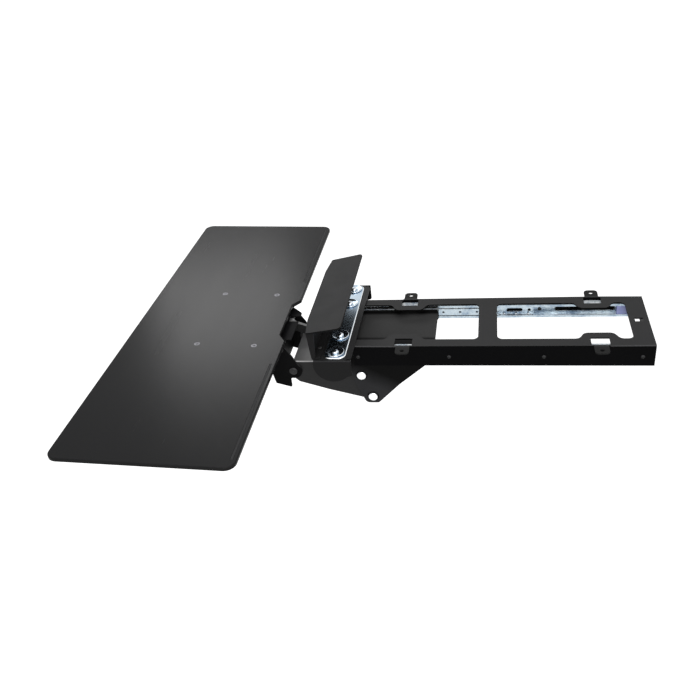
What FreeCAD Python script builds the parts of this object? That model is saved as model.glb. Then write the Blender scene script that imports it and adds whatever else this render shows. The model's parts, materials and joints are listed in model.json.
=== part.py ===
import FreeCAD, Part
import math
import os

import Sketcher
from FreeCAD import Placement, Rotation, Vector

# Keyboard tray on a sliding, lifting and tilting under-desk arm.
# Millimetres. +Z is up, +Y points under the desk, and the user sits at -Y.
# The origin is the middle of the four desk screws, on the face that meets the desk.

os.makedirs("parts", exist_ok=True)
doc = FreeCAD.newDocument("keyboard_tray")

# Driving sizes, in mm and degrees
SIZES = {
    # desk track
    "sheet": 2.0,
    "track_width": 137.4,
    "track_height": 33.4,
    "track_length": 421.0,
    "rim_width": 18.7,
    "front_opening_length": 180.4,
    "cross_bar_width": 27.3,
    "rear_bar_width": 27.0,
    "screw_rows": 275.0,
    "screw_cross": 160.0,
    "screw_hole": 6.5,
    "rear_overhang": 72.5,
    "tab_width": 20.0,
    "tab_margin": 8.0,
    "tab_corner": 6.0,
    "tab_window_length": 25.4,
    "tab_window_width": 18.0,
    "tab_window_inset": 0.7,
    "rim_corner": 8.0,
    "bulge_corner": 9.0,
    "bulge_depth": 15.5,
    "bulge_root": 56.0,
    "bulge_tip": 40.0,
    "locating_slot_length": 11.5,
    "locating_slot_width": 9.5,
    # ball slides
    "rail_height": 22.0,
    "rail_gauge": 1.5,
    "rail_depth": 12.2,
    "rail_lip": 2.0,
    "rail_drop": 5.5,
    "rail_end_gap": 1.0,
    "rail_slot": 8.0,
    "rail_slot_length": 89.5,
    "rail_slot_end": 32.0,
    "rail_slot_drop": 2.0,
    "rail_vent_margin": 1.5,
    "rail_vent_hole": 6.5,
    "rail_length": 415.0,
    "inner_rail_setback": 6.0,
    "inner_rail_length": 188.0,
    "inner_rail_depth": 7.0,
    "inner_hole_pitch": 26.0,
    "inner_hole": 4.0,
    "inner_hole_end": 9.0,
    "ball": 4.0,
    "ball_inset": 5.73,
    "ball_play": 0.05,
    "balls_in_row": 8,
    "cage_length": 145.0,
    "cage_end": 8.0,
    "cage_gauge": 0.8,
    "cage_width": 6.0,
    "cage_start": 118.0,
    "cage_slot_start": 104.0,
    "cage_slot_length": 24.5,
    "cage_slot": 6.5,
    "cage_hole_start": 138.5,
    "cage_hole": 5.0,
    "rivet_first": 6.0,
    "rivet_last": 11.5,
    "rivet_shank": 4.0,
    "rivet_head": 6.4,
    "rivet_top": 4.2,
    "rivet_crimp": 5.6,
    "inner_rivet_shank": 3.2,
    "inner_rivet_head": 5.2,
    "inner_rivet_first": 19.0,
    "inner_rivet_pitch": 44.0,
    "inner_rivet_drop": 0.9,
    "wall_rivet_drop": 2.0,
    "rivet_dome": 1.6,
    "stop_length": 16.0,
    "stop_gap": 15.0,
    # carriage
    "carriage_sheet": 2.5,
    "carriage_length": 125.5,
    "carriage_drop": 13.0,
    "carriage_setback": -2.0,
    "carriage_half_width": 54.0,
    "gusset_front_drop": 5.0,
    "gusset_tip": 12.5,
    "gusset_toe": 11.0,
    "gusset_heel": 8.0,
    "gusset_back_run": 42.7,
    "gusset_back_rise": 22.7,
    "gusset_end_run": 15.8,
    "gusset_end_drop": 31.4,
    "gusset_end_depth": 13.6,
    "gusset_front_round": 8.0,
    "gusset_round": 6.0,
    "axle": 8.0,
    "axle_head": 12.5,
    "axle_head_depth": 2.4,
    "axle_washer": 17.0,
    "axle_washer_depth": 1.0,
    "play": 0.1,
    # four-bar lift
    "lift_ahead": 6.0,
    "link_pivot_setback": 12.0,
    "link_pivot_drop": 61.0,
    "arm_pivot_setback": 26.6,
    "arm_pivot_drop": 100.0,
    "arm_run": 119.6,
    "arm_rise": 46.0,
    "arm_half_width": 50.5,
    "arm_eye": 8.5,
    "front_eye": 10.0,
    "arm_end": 13.0,
    "arm_nose_end": 2.0,
    "arm_nose": 9.0,
    "arm_nose_rise": 4.0,
    "arm_nose_drop": 6.0,
    "arm_belly_run": 6.6,
    "arm_belly_drop": 21.5,
    "arm_keel_run": 52.2,
    "arm_keel_drop": 36.4,
    "arm_heel_run": 14.2,
    "arm_heel_drop": 5.2,
    "arm_neck_run": 9.2,
    "arm_neck_rise": 5.0,
    "arm_shoulder_run": 9.0,
    "arm_shoulder_rise": 3.0,
    "arm_round": 4.0,
    "arm_top_round": 3.0,
    "arm_top_above_eye": 16.0,
    "bush_wall": 2.0,
    "link_width": 14.0,
    "link_gauge": 6.0,
    "link_offset": 20.0,
    "link_boss": 14.0,
    "link_slot_margin": 1.0,
    "link_slot_setback": 22.0,
    "levelling_pin": 6.0,
    "levelling_head": 9.4,
    # head and tilt
    "yoke_gap": 0.6,
    "yoke_sheet": 2.4,
    "tilt_axis_ahead": 32.0,
    "tilt_axis_above": 40.0,
    "tilt_hub": 7.0,
    "tilt_side_gap": 0.2,
    "yoke_eye": 13.5,
    "yoke_web_setback": 4.0,
    "yoke_top_reach": 12.0,
    "yoke_top_rise": 11.0,
    "yoke_back_reach": 4.0,
    "yoke_back_drop": 14.0,
    "yoke_eye_reach": 11.0,
    "yoke_eye_rise": 4.0,
    "yoke_heel_run": 6.0,
    "yoke_heel_rise": 15.0,
    "yoke_heel_drop": 30.5,
    "yoke_toe_run": 30.5,
    "yoke_toe_drop": 23.0,
    "yoke_shin_run": 33.0,
    "yoke_shin_drop": 10.0,
    "yoke_nose": 8.0,
    "yoke_nose_rise": 4.0,
    "yoke_brow_rise": 8.0,
    "yoke_brow_run": 2.0,
    "yoke_crown_run": 10.0,
    "yoke_crown_rise": 9.5,
    "yoke_round": 4.0,
    "yoke_small_round": 2.0,
    "bridge_sheet": 2.0,
    "bridge_drop": 5.0,
    "bridge_depth": 21.0,
    "bridge_ahead": 20.0,
    "bridge_end": 41.0,
    "bridge_slot_depth": 16.0,
    "bridge_corner_run": 14.0,
    "bridge_corner_depth": 13.0,
    "bracket_sheet": 2.5,
    "bracket_margin": 10.0,
    "bracket_overhang": 8.0,
    "bracket_cheek_length": 46.0,
    "spacer_wall": 2.0,
    "nut_depth": 6.0,
    "nut_width": 13.0,
    "bolt_head_depth": 5.2,
    "bolt_end": 1.0,
    # tray
    "tray_width": 686.0,
    "tray_depth": 245.0,
    "tray_thickness": 5.0,
    "tray_corner": 15.0,
    "tray_slope": 2.3,
    "tray_setback": 3.0,
    "tray_height": 59.3,
    "notch_mouth": 122.0,
    "notch_width": 89.0,
    "notch_depth": 11.1,
    "notch_corner": 4.0,
    "notch_mouth_corner": 3.0,
    "tray_screw_cross": 152.0,
    "tray_screw_first": 43.6,
    "tray_screw_pitch": 87.9,
    "tray_screw": 5.0,
    "tray_screw_head": 9.0,
    "tray_screw_sink": 2.2,
    "tray_screw_end": 1.5,
    "tray_nut_width": 8.0,
    "tray_nut_depth": 4.0,
    "strip_start": 122.0,
    "strip_length": 205.0,
    "strip_width": 3.0,
    "strip_depth": 1.0,
    "strip_inset": 5.5,
    "strip_play": 0.05,
    # housing on the arm
    "riser_half_width": 32.0,
    "riser_length": 38.0,
    "riser_ahead": 2.5,
    "riser_flange": 11.0,
    "riser_rivet_margin": 6.0,
    "riser_screw_cross": 28.0,
    "riser_screw_pitch": 24.0,
    "riser_screw_head": 7.0,
    "riser_screw_head_depth": 2.8,
    "base_half_width": 112.0,
    "base_depth": 53.0,
    "base_lift": 1.2,
    "base_setback": 5.5,
    "base_corner": 12.0,
    "cheek_sheet": 2.5,
    "cheek_radius": 28.0,
    "cheek_centre_ahead": 17.0,
    "cheek_centre_drop": 4.0,
    "zinc_length": 214.0,
    "zinc_width": 32.0,
    "zinc_corner": 11.0,
    "zinc_ahead": 14.5,
    "outer_bolts": 185.0,
    "inner_bolts": 94.0,
    "clamp_bolt": 6.0,
    "clamp_bolt_head": 10.0,
    "clamp_bolt_head_depth": 3.5,
    "clamp_washer": 26.0,
    "clamp_washer_depth": 2.2,
    "clamp_washer_rim": 0.9,
    "clamp_washer_crown": 14.3,
    "shell_half_width": 108.0,
    "shell_end_top": 11.0,
    "shell_end_foot": 6.0,
    "shell_inset": 3.0,
    "shell_flange": 12.0,
    "shell_bend": 2.5,
    "shell_step": 1.0,
    "shell_rivet_setback": 7.0,
    "shell_rivet_cross": 160.0,
    "cover_front_half_width": 112.0,
    "cover_rear_half_width": 114.0,
    "cover_depth": 55.6,
    "cover_bow": 4.5,
    "cover_bow_half_width": 75.0,
    "cover_gauge": 2.5,
    "cover_corner": 6.0,
    "cover_front_corner": 3.0,
    "cover_bow_round": 8.0,
    "cover_slope": 10.2,
    "cover_front_ahead": 52.7,
    "cover_front_height": 46.8,
    "cover_screw": 3.0,
    "cover_screw_head": 6.0,
    "cover_screw_head_depth": 1.8,
    "cover_screw_bite": 1.9,
    "cover_screw_setback": 10.2,
    "cover_screw_cross": 120.0,
    # cutting tools and joined pieces
    "overreach": 1.0,
}

sheet = doc.addObject("Spreadsheet::Sheet", "sizes")
for row, (alias, value) in enumerate(SIZES.items(), start=1):
    sheet.set(f"A{row}", alias)
    sheet.set(f"B{row}", str(value))
    sheet.setAlias(f"B{row}", alias)
doc.recompute()


class Size:
    # A length or angle that knows both its number and its formula on the sheet

    def __init__(self, value, text):
        self.value = value
        self.text = text

    def __add__(self, other):
        return Size(self.value + number(other), f"({self.text} + {words(other)})")

    def __radd__(self, other):
        return Size(number(other) + self.value, f"({words(other)} + {self.text})")

    def __sub__(self, other):
        return Size(self.value - number(other), f"({self.text} - {words(other)})")

    def __rsub__(self, other):
        return Size(number(other) - self.value, f"({words(other)} - {self.text})")

    def __mul__(self, other):
        return Size(self.value * number(other), f"({self.text} * {words(other)})")

    __rmul__ = __mul__

    def __truediv__(self, other):
        return Size(self.value / number(other), f"({self.text} / {words(other)})")

    def __neg__(self):
        return Size(-self.value, f"(0 - {self.text})")


def number(size):
    return size.value if isinstance(size, Size) else float(size)


def words(size):
    return size.text if isinstance(size, Size) else f"({float(size)})"


def cosine(angle):
    return Size(math.cos(math.radians(angle.value)), f"cos({angle.text} * 1 deg)")


def sine(angle):
    return Size(math.sin(math.radians(angle.value)), f"sin({angle.text} * 1 deg)")


class Named:
    # The sheet's sizes as attributes
    pass


s = Named()
for alias, value in SIZES.items():
    setattr(s, alias, Size(value, f"sizes.{alias}"))


def bind(item, name, size):
    item.setExpression(name, words(size))


def place(item, x, y, z, rotation=Rotation()):
    item.Placement = Placement(Vector(number(x), number(y), number(z)), rotation)
    bind(item, "Placement.Base.x", x)
    bind(item, "Placement.Base.y", y)
    bind(item, "Placement.Base.z", z)
    return item


def block(x0, x1, y0, y1, z0, z1):
    item = doc.addObject("Part::Box", "block")
    bind(item, "Length", x1 - x0)
    bind(item, "Width", y1 - y0)
    bind(item, "Height", z1 - z0)
    return place(item, x0, y0, z0)


ALONG_X = Rotation(Vector(0, 1, 0), 90)
ALONG_Z = Rotation()


def rod_x(diameter, x0, x1, y, z):
    item = doc.addObject("Part::Cylinder", "rod")
    bind(item, "Radius", diameter / 2)
    bind(item, "Height", x1 - x0)
    return place(item, x0, y, z, ALONG_X)


def rod_z(diameter, z0, z1, x, y):
    item = doc.addObject("Part::Cylinder", "rod")
    bind(item, "Radius", diameter / 2)
    bind(item, "Height", z1 - z0)
    return place(item, x, y, z0, ALONG_Z)


def cone_x(wide, narrow, x0, depth, y, z):
    item = doc.addObject("Part::Cone", "dome")
    bind(item, "Radius1", wide / 2)
    bind(item, "Radius2", narrow / 2)
    bind(item, "Height", depth)
    return place(item, x0, y, z, ALONG_X)


def cone_z(wide, narrow, z0, depth, x, y):
    item = doc.addObject("Part::Cone", "dome")
    bind(item, "Radius1", wide / 2)
    bind(item, "Radius2", narrow / 2)
    bind(item, "Height", depth)
    return place(item, x, y, z0, ALONG_Z)


def ball_at(diameter, x, y, z):
    item = doc.addObject("Part::Sphere", "ball")
    bind(item, "Radius", diameter / 2)
    return place(item, x, y, z)


def hexagon_x(width, x0, x1, y, z):
    item = doc.addObject("Part::Prism", "hexagon")
    item.Polygon = 6
    bind(item, "Circumradius", width / math.sqrt(3))
    bind(item, "Height", x1 - x0)
    return place(item, x0, y, z, ALONG_X)


def hexagon_z(width, z0, z1, x, y):
    item = doc.addObject("Part::Prism", "hexagon")
    item.Polygon = 6
    bind(item, "Circumradius", width / math.sqrt(3))
    bind(item, "Height", z1 - z0)
    return place(item, x, y, z0, ALONG_Z)


def fuse(*pieces):
    item = doc.addObject("Part::MultiFuse", "joined")
    item.Shapes = list(pieces)
    item.Refine = True
    return item


def cut(base, *tools):
    item = doc.addObject("Part::Cut", "cut")
    item.Base = base
    item.Tool = tools[0] if len(tools) == 1 else fuse(*tools)
    return item


def common(base, tool):
    item = doc.addObject("Part::Common", "common")
    item.Base = base
    item.Tool = tool
    return item


def group(*pieces):
    item = doc.addObject("Part::Compound", "group")
    item.Links = list(pieces)
    return item


def mirror(piece):
    item = doc.addObject("Part::Mirroring", "mirrored")
    item.Source = piece
    item.Normal = Vector(1, 0, 0)
    return item


def pair(piece):
    return group(piece, mirror(piece))


def pin_point(sketch, piece, end, across, up):
    for kind, size in (("DistanceX", across), ("DistanceY", up)):
        rule = sketch.addConstraint(Sketcher.Constraint(kind, -1, 1, piece, end, number(size)))
        bind(sketch, f"Constraints[{rule}]", size)


# Where a corner of a sketch lies in space, for each plane
IN_SPACE = {
    "XY_Plane": lambda point: (point.x, point.y),
    "XZ_Plane": lambda point: (point.x, point.z),
    "YZ_Plane": lambda point: (point.y, point.z),
}


def near(edge, role, across, up):
    limit = 0.01
    ends = [IN_SPACE[role](vertex.Point) for vertex in edge.Vertexes]
    close = [math.hypot(a - across, b - up) < limit for a, b in ends]
    return len(ends) == 2 and all(close)


def plate(role, offset, thickness, corners, windows=(), holes=()):
    """A flat piece: an outline whose corners are (across, up) or (across, up, round radius)"""
    body = doc.addObject("PartDesign::Body", "plate")
    sketch = body.newObject("Sketcher::SketchObject", "outline")
    plane = [item for item in body.Origin.OriginFeatures if item.Role == role][0]
    sketch.AttachmentSupport = [(plane, "")]
    sketch.MapMode = "FlatFace"
    bind(sketch, "AttachmentOffset.Base.z", offset)
    for loop in (corners, *windows):
        first = sketch.GeometryCount
        points = [Vector(number(corner[0]), number(corner[1]), 0) for corner in loop]
        for start, end in zip(points, points[1:] + points[:1]):
            sketch.addGeometry(Part.LineSegment(start, end))
        for index, corner in enumerate(loop):
            after = first + (index + 1) % len(loop)
            sketch.addConstraint(Sketcher.Constraint("Coincident", first + index, 2, after, 1))
            pin_point(sketch, first + index, 1, corner[0], corner[1])
    for across, up, diameter in holes:
        middle = Vector(number(across), number(up), 0)
        ring = sketch.addGeometry(Part.Circle(middle, Vector(0, 0, 1), number(diameter) / 2))
        pin_point(sketch, ring, 3, across, up)
        rule = sketch.addConstraint(Sketcher.Constraint("Radius", ring, number(diameter) / 2))
        bind(sketch, f"Constraints[{rule}]", diameter / 2)
    pad = body.newObject("PartDesign::Pad", "sheet")
    pad.Profile = sketch
    bind(pad, "Length", thickness)
    doc.recompute()
    rounded = [corner for loop in (corners, *windows) for corner in loop if len(corner) == 3]
    for radius in sorted({number(corner[2]) for corner in rounded}, reverse=True):
        group_corners = [corner for corner in rounded if number(corner[2]) == radius]
        names = []
        for index, edge in enumerate(body.Tip.Shape.Edges, start=1):
            if any(near(edge, role, number(c[0]), number(c[1])) for c in group_corners):
                names.append(f"Edge{index}")
        base = body.Tip
        fillet = body.newObject("PartDesign::Fillet", "rounded")
        fillet.Base = (base, names)
        bind(fillet, "Radius", group_corners[0][2])
        doc.recompute()
    return body


def rectangle(x0, x1, y0, y1):
    return [(x0, y0), (x1, y0), (x1, y1), (x0, y1)]


NODES = []


def node(label, item):
    item.Label = label
    NODES.append(item)
    return item


# Places that several pieces share
zero = 0 * s.sheet
past = s.overreach
half_track = s.track_width / 2
inside_wall = half_track - s.sheet
rear_end = s.screw_rows / 2 + s.rear_overhang
front_end = rear_end - s.track_length
lift_start = front_end - s.lift_ahead
rail_middle = -(s.rail_drop + s.rail_height / 2)
rail_top = -s.rail_drop
rail_bottom = rail_top - s.rail_height
rail_front = front_end + s.rail_end_gap
rail_slot_z = rail_middle - s.rail_slot_drop
wall_rivet_z = rail_middle - s.wall_rivet_drop
inner_rivet_z = rail_middle - s.inner_rivet_drop
rail_tip = inside_wall - s.rail_depth

arm_pivot_y = lift_start + s.arm_pivot_setback
arm_pivot_z = -s.arm_pivot_drop
link_pivot_y = lift_start + s.link_pivot_setback
link_pivot_z = -s.link_pivot_drop
front_pivot_y = arm_pivot_y - s.arm_run
front_pivot_z = arm_pivot_z + s.arm_rise
levelling_y = link_pivot_y - s.arm_run
levelling_z = link_pivot_z + s.arm_rise
tilt_y = front_pivot_y - s.tilt_axis_ahead
tilt_z = front_pivot_z + s.tilt_axis_above

tray_rear = front_pivot_y - s.tray_setback
tray_top = front_pivot_z + s.tray_height
arm_top = front_pivot_z + s.arm_top_above_eye


# Desk track


def window_side(side, middle):
    """The bulge of the rim that carries a pair of desk screws, walked rearwards"""
    edge = side * (half_track - s.rim_width)
    tip = side * (half_track - s.rim_width - s.bulge_depth)
    return [
        (edge, middle - s.bulge_root / 2, s.bulge_corner),
        (tip, middle - s.bulge_tip / 2, s.bulge_corner),
        (tip, middle + s.bulge_tip / 2, s.bulge_corner),
        (edge, middle + s.bulge_root / 2, s.bulge_corner),
    ]


def track_frame():
    rows = (-s.screw_rows / 2, s.screw_rows / 2)
    tab_end = s.screw_cross / 2 + s.tab_margin
    rim = half_track - s.rim_width
    opening_end = front_end + s.front_opening_length
    window_start = opening_end + s.cross_bar_width
    window_end = rear_end - s.rear_bar_width

    right = []
    for row in rows:
        right.append((half_track, row - s.tab_width / 2))
        right.append((tab_end, row - s.tab_width / 2, s.tab_corner))
        right.append((tab_end, row + s.tab_width / 2, s.tab_corner))
        right.append((half_track, row + s.tab_width / 2))
    left = [(-corner[0], *corner[1:]) for corner in reversed(right)]
    outline = [
        (half_track, front_end),
        *right,
        (half_track, rear_end),
        (-half_track, rear_end),
        *left,
        (-half_track, front_end),
        (-rim, front_end),
        *window_side(-1, rows[0]),
        (-rim, opening_end, s.rim_corner),
        (rim, opening_end, s.rim_corner),
        *reversed(window_side(1, rows[0])),
        (rim, front_end),
    ]
    rear_window = [
        (-rim, window_start, s.rim_corner),
        *window_side(-1, rows[1]),
        (-rim, window_end, s.rim_corner),
        (rim, window_end, s.rim_corner),
        *reversed(window_side(1, rows[1])),
        (rim, window_start, s.rim_corner),
    ]
    windows = [rear_window]
    slot_y = rear_end - s.rear_bar_width / 2
    windows.append(rectangle(-s.locating_slot_width / 2, s.locating_slot_width / 2,
                             slot_y - s.locating_slot_length / 2, slot_y + s.locating_slot_length / 2))
    for side in (-1, 1):
        for row in rows:
            outer = inside_wall - s.tab_window_inset
            windows.append([
                (side * (outer - s.tab_window_width), row - s.tab_window_length / 2),
                (side * outer, row - s.tab_window_length / 2),
                (side * outer, row + s.tab_window_length / 2),
                (side * (outer - s.tab_window_width), row + s.tab_window_length / 2),
            ])
    holes = [(side * s.screw_cross / 2, row, s.screw_hole) for side in (-1, 1) for row in rows]
    top = plate("XY_Plane", -s.sheet, s.sheet, outline, windows, holes)
    walls = []
    for side in (-1, 1):
        low, high = (inside_wall, half_track) if side == 1 else (-half_track, -inside_wall)
        walls.append(block(low, high, front_end, rear_end, -s.track_height, zero))
    walls.append(block(-half_track, half_track, rear_end - s.sheet, rear_end, -s.track_height, zero))
    rivet_holes = [rod_x(s.rivet_shank + s.play, -half_track - past, half_track + past, y, wall_rivet_z)
                   for y in rivet_rows()]
    return cut(fuse(top, *walls), *rivet_holes)


def rivet_rows():
    pitch = (s.rail_length - s.rivet_first - s.rivet_last) / 3
    return [rail_front + s.rivet_first + pitch * index for index in range(4)]


def rail_section():
    """Outer slide rail, a channel whose lips keep the balls in, on the +X side"""
    lip_top = rail_top - s.rail_gauge - s.rail_lip
    lip_bottom = rail_bottom + s.rail_gauge + s.rail_lip
    web = inside_wall - s.rail_gauge
    lip = rail_tip + s.rail_gauge
    return [
        (inside_wall, rail_bottom), (inside_wall, rail_top), (rail_tip, rail_top),
        (rail_tip, lip_top), (lip, lip_top), (lip, rail_top - s.rail_gauge),
        (web, rail_top - s.rail_gauge), (web, rail_bottom + s.rail_gauge),
        (lip, rail_bottom + s.rail_gauge), (lip, lip_bottom), (rail_tip, lip_bottom),
        (rail_tip, rail_bottom),
    ]


def slot_through(x0, x1, y0, y1, z, width):
    radius = width / 2
    return fuse(
        block(x0, x1, y0 + radius, y1 - radius, z - radius, z + radius),
        rod_x(width, x0, x1, y0 + radius, z),
        rod_x(width, x0, x1, y1 - radius, z),
    )


def outer_slide_rails():
    rail_rear = rail_front + s.rail_length
    rail = plate("XZ_Plane", -rail_rear, s.rail_length, rail_section())
    x0 = inside_wall - s.rail_gauge - past
    x1 = inside_wall + past
    slot_start = rail_rear - s.rail_slot_end - s.rail_slot_length
    vent_start = cage_front + s.cage_slot_start - s.rail_vent_margin
    vent_length = s.cage_slot_length + s.rail_vent_margin * 2
    gaps = [slot_through(x0, x1, slot_start, slot_start + s.rail_slot_length, rail_slot_z, s.rail_slot)]
    gaps.append(slot_through(x0, x1, vent_start, vent_start + vent_length, rail_slot_z, s.rail_slot))
    gaps.append(rod_x(s.rail_vent_hole, x0, x1, cage_front + s.cage_hole_start, rail_slot_z))
    gaps += [rod_x(s.rivet_shank + s.play, x0, x1, y, wall_rivet_z) for y in rivet_rows()]
    return pair(cut(rail, *gaps))


def wall_rivet(y):
    inner = inside_wall - s.rail_gauge
    return fuse(
        rod_x(s.rivet_shank, inner - s.rivet_dome, half_track + s.rivet_dome, y, wall_rivet_z),
        cone_x(s.rivet_head, s.rivet_top, half_track, s.rivet_dome, y, wall_rivet_z),
        cone_x(s.rivet_top, s.rivet_crimp, inner - s.rivet_dome, s.rivet_dome, y, wall_rivet_z),
    )


def slide_end_stops():
    rail_rear = rail_front + s.rail_length
    depth = s.rail_depth - s.rail_gauge * 2
    web = inside_wall - s.rail_gauge
    half_height = s.rail_height / 2 - s.rail_gauge
    stop_end = rail_rear - s.stop_gap
    stop = block(web - depth, web, stop_end - s.stop_length, stop_end,
                 rail_middle - half_height, rail_middle + half_height)
    return pair(stop)


# Ball cages

ball_x = rail_tip + s.ball_inset
ball_rise = s.rail_height / 2 - s.rail_gauge - s.ball_play - s.ball / 2
cage_front = front_end + s.cage_start


def ball_rows():
    count = int(number(s.balls_in_row))
    step = (s.cage_length - s.cage_end * 2) / (count - 1)
    return [cage_front + s.cage_end + step * index for index in range(count)]


def ball_cages():
    start = ball_x - s.cage_width / 2
    end = ball_x + s.cage_width / 2
    web = end - s.cage_gauge
    top = rail_middle + ball_rise + s.cage_gauge / 2
    bottom = rail_middle - ball_rise - s.cage_gauge / 2
    section = [
        (start, top), (start, top - s.cage_gauge), (web, top - s.cage_gauge),
        (web, bottom + s.cage_gauge), (start, bottom + s.cage_gauge), (start, bottom),
        (end, bottom), (end, top),
    ]
    cage = plate("XZ_Plane", -(cage_front + s.cage_length), s.cage_length, section)
    pockets = [rod_z(s.ball + s.play, bottom - past, top + past, ball_x, y) for y in ball_rows()]
    slot_start = cage_front + s.cage_slot_start
    slot = slot_through(web - past, end + past, slot_start, slot_start + s.cage_slot_length, rail_slot_z, s.cage_slot)
    hole = rod_x(s.cage_hole, web - past, end + past, cage_front + s.cage_hole_start, rail_slot_z)
    return pair(cut(cage, *pockets, slot, hole))


def cage_balls():
    balls = []
    for y in ball_rows():
        for rise in (ball_rise, -ball_rise):
            balls.append(ball_at(s.ball, ball_x, y, rail_middle + rise))
            balls.append(ball_at(s.ball, -ball_x, y, rail_middle + rise))
    return group(*balls)


# Carriage

carriage_front = lift_start + s.carriage_setback
carriage_rear = carriage_front + s.carriage_length
carriage_inside = s.carriage_half_width - s.carriage_sheet
carriage_top = -s.carriage_drop


def carriage_bracket():
    """Formed plate whose two side gussets hang between the slides and carry both pivots"""
    tip = arm_pivot_z - s.gusset_tip
    outline = [
        (carriage_front, carriage_top),
        (carriage_front, link_pivot_z - s.gusset_front_drop, s.gusset_front_round),
        (arm_pivot_y - s.gusset_toe, tip, s.gusset_front_round),
        (arm_pivot_y + s.gusset_heel, tip, s.gusset_round),
        (arm_pivot_y + s.gusset_back_run, arm_pivot_z + s.gusset_back_rise, s.gusset_round),
        (carriage_rear - s.gusset_end_run, carriage_top - s.gusset_end_drop, s.gusset_round),
        (carriage_rear, carriage_top - s.gusset_end_depth, s.gusset_round),
        (carriage_rear, carriage_top),
    ]
    side = plate("YZ_Plane", carriage_inside, s.carriage_sheet, outline)
    top = block(-carriage_inside - past, carriage_inside + past, carriage_front, carriage_rear,
                carriage_top - s.carriage_sheet, carriage_top)
    reach = s.carriage_half_width + past
    bores = [rod_x(s.axle + s.play, -reach, reach, y, z)
             for y, z in ((arm_pivot_y, arm_pivot_z), (link_pivot_y, link_pivot_z))]
    bores += [rod_x(s.inner_rivet_shank + s.play, -reach, reach, y, inner_rivet_z) for y in inner_rivet_rows()]
    return cut(fuse(side, mirror(side), top), *bores)


def inner_rivet_rows():
    first = carriage_front + s.inner_rivet_first
    return [first + s.inner_rivet_pitch * index for index in range(3)]


inner_half = ball_rise - s.ball / 2 - s.ball_play


def inner_slide_rails():
    top = rail_middle + inner_half
    bottom = rail_middle - inner_half
    web = s.carriage_half_width + s.rail_gauge
    end = s.carriage_half_width + s.inner_rail_depth
    section = [
        (s.carriage_half_width, bottom), (end, bottom), (end, bottom + s.rail_gauge),
        (web, bottom + s.rail_gauge), (web, top - s.rail_gauge), (end, top - s.rail_gauge),
        (end, top), (s.carriage_half_width, top),
    ]
    rail_start = carriage_front + s.inner_rail_setback
    rail = plate("XZ_Plane", -(rail_start + s.inner_rail_length), s.inner_rail_length, section)
    x0 = s.carriage_half_width - past
    x1 = web + past
    last = rail_start + s.inner_rail_length - s.inner_hole_end
    gaps = [rod_x(s.inner_hole, x0, x1, last - s.inner_hole_pitch * index, rail_middle)
            for index in range(3)]
    gaps += [rod_x(s.inner_rivet_shank + s.play, x0, x1, y, inner_rivet_z) for y in inner_rivet_rows()]
    return pair(cut(rail, *gaps))


def inner_rivet(y):
    """Flush inside the carriage, where the arm swings past, and headed inside the rail"""
    outer = s.carriage_half_width + s.rail_gauge
    return fuse(
        rod_x(s.inner_rivet_shank, carriage_inside, outer + s.rivet_dome, y, inner_rivet_z),
        cone_x(s.inner_rivet_head, s.inner_rivet_shank, outer, s.rivet_dome, y, inner_rivet_z),
    )


def headed_axle(shank, head, reach, y, z):
    """A pin right across, riveted over outside both plates; its heads are a little domed"""
    half_head = s.axle_head_depth / 2
    ends = []
    for side in (-1, 1):
        start = reach if side == 1 else -reach - half_head
        ends.append(rod_x(head, start, start + half_head, y, z))
    dome = cone_x(head, (shank + head) / 2, reach + half_head, half_head, y, z)
    return fuse(rod_x(shank, -reach, reach, y, z), *ends, dome, mirror(dome))


axle_reach = s.carriage_half_width + s.axle_washer_depth


def washer_x(outside, inside, x0, depth, y, z):
    return cut(rod_x(outside, x0, x0 + depth, y, z), rod_x(inside, x0 - past, x0 + depth + past, y, z))


def pivot_washers():
    washers = []
    for y, z in ((arm_pivot_y, arm_pivot_z), (link_pivot_y, link_pivot_z)):
        washer = washer_x(s.axle_washer, s.axle + s.play, s.carriage_half_width, s.axle_washer_depth, y, z)
        washers.append(pair(washer))
    return group(*washers)


# Lift arm

arm_inside = s.arm_half_width - s.sheet
arm_rear = link_pivot_y - s.arm_end
arm_front = front_pivot_y - s.arm_nose_end
eye_hole = s.axle + 2 * s.bush_wall
slot_front = arm_front + s.link_slot_setback


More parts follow.
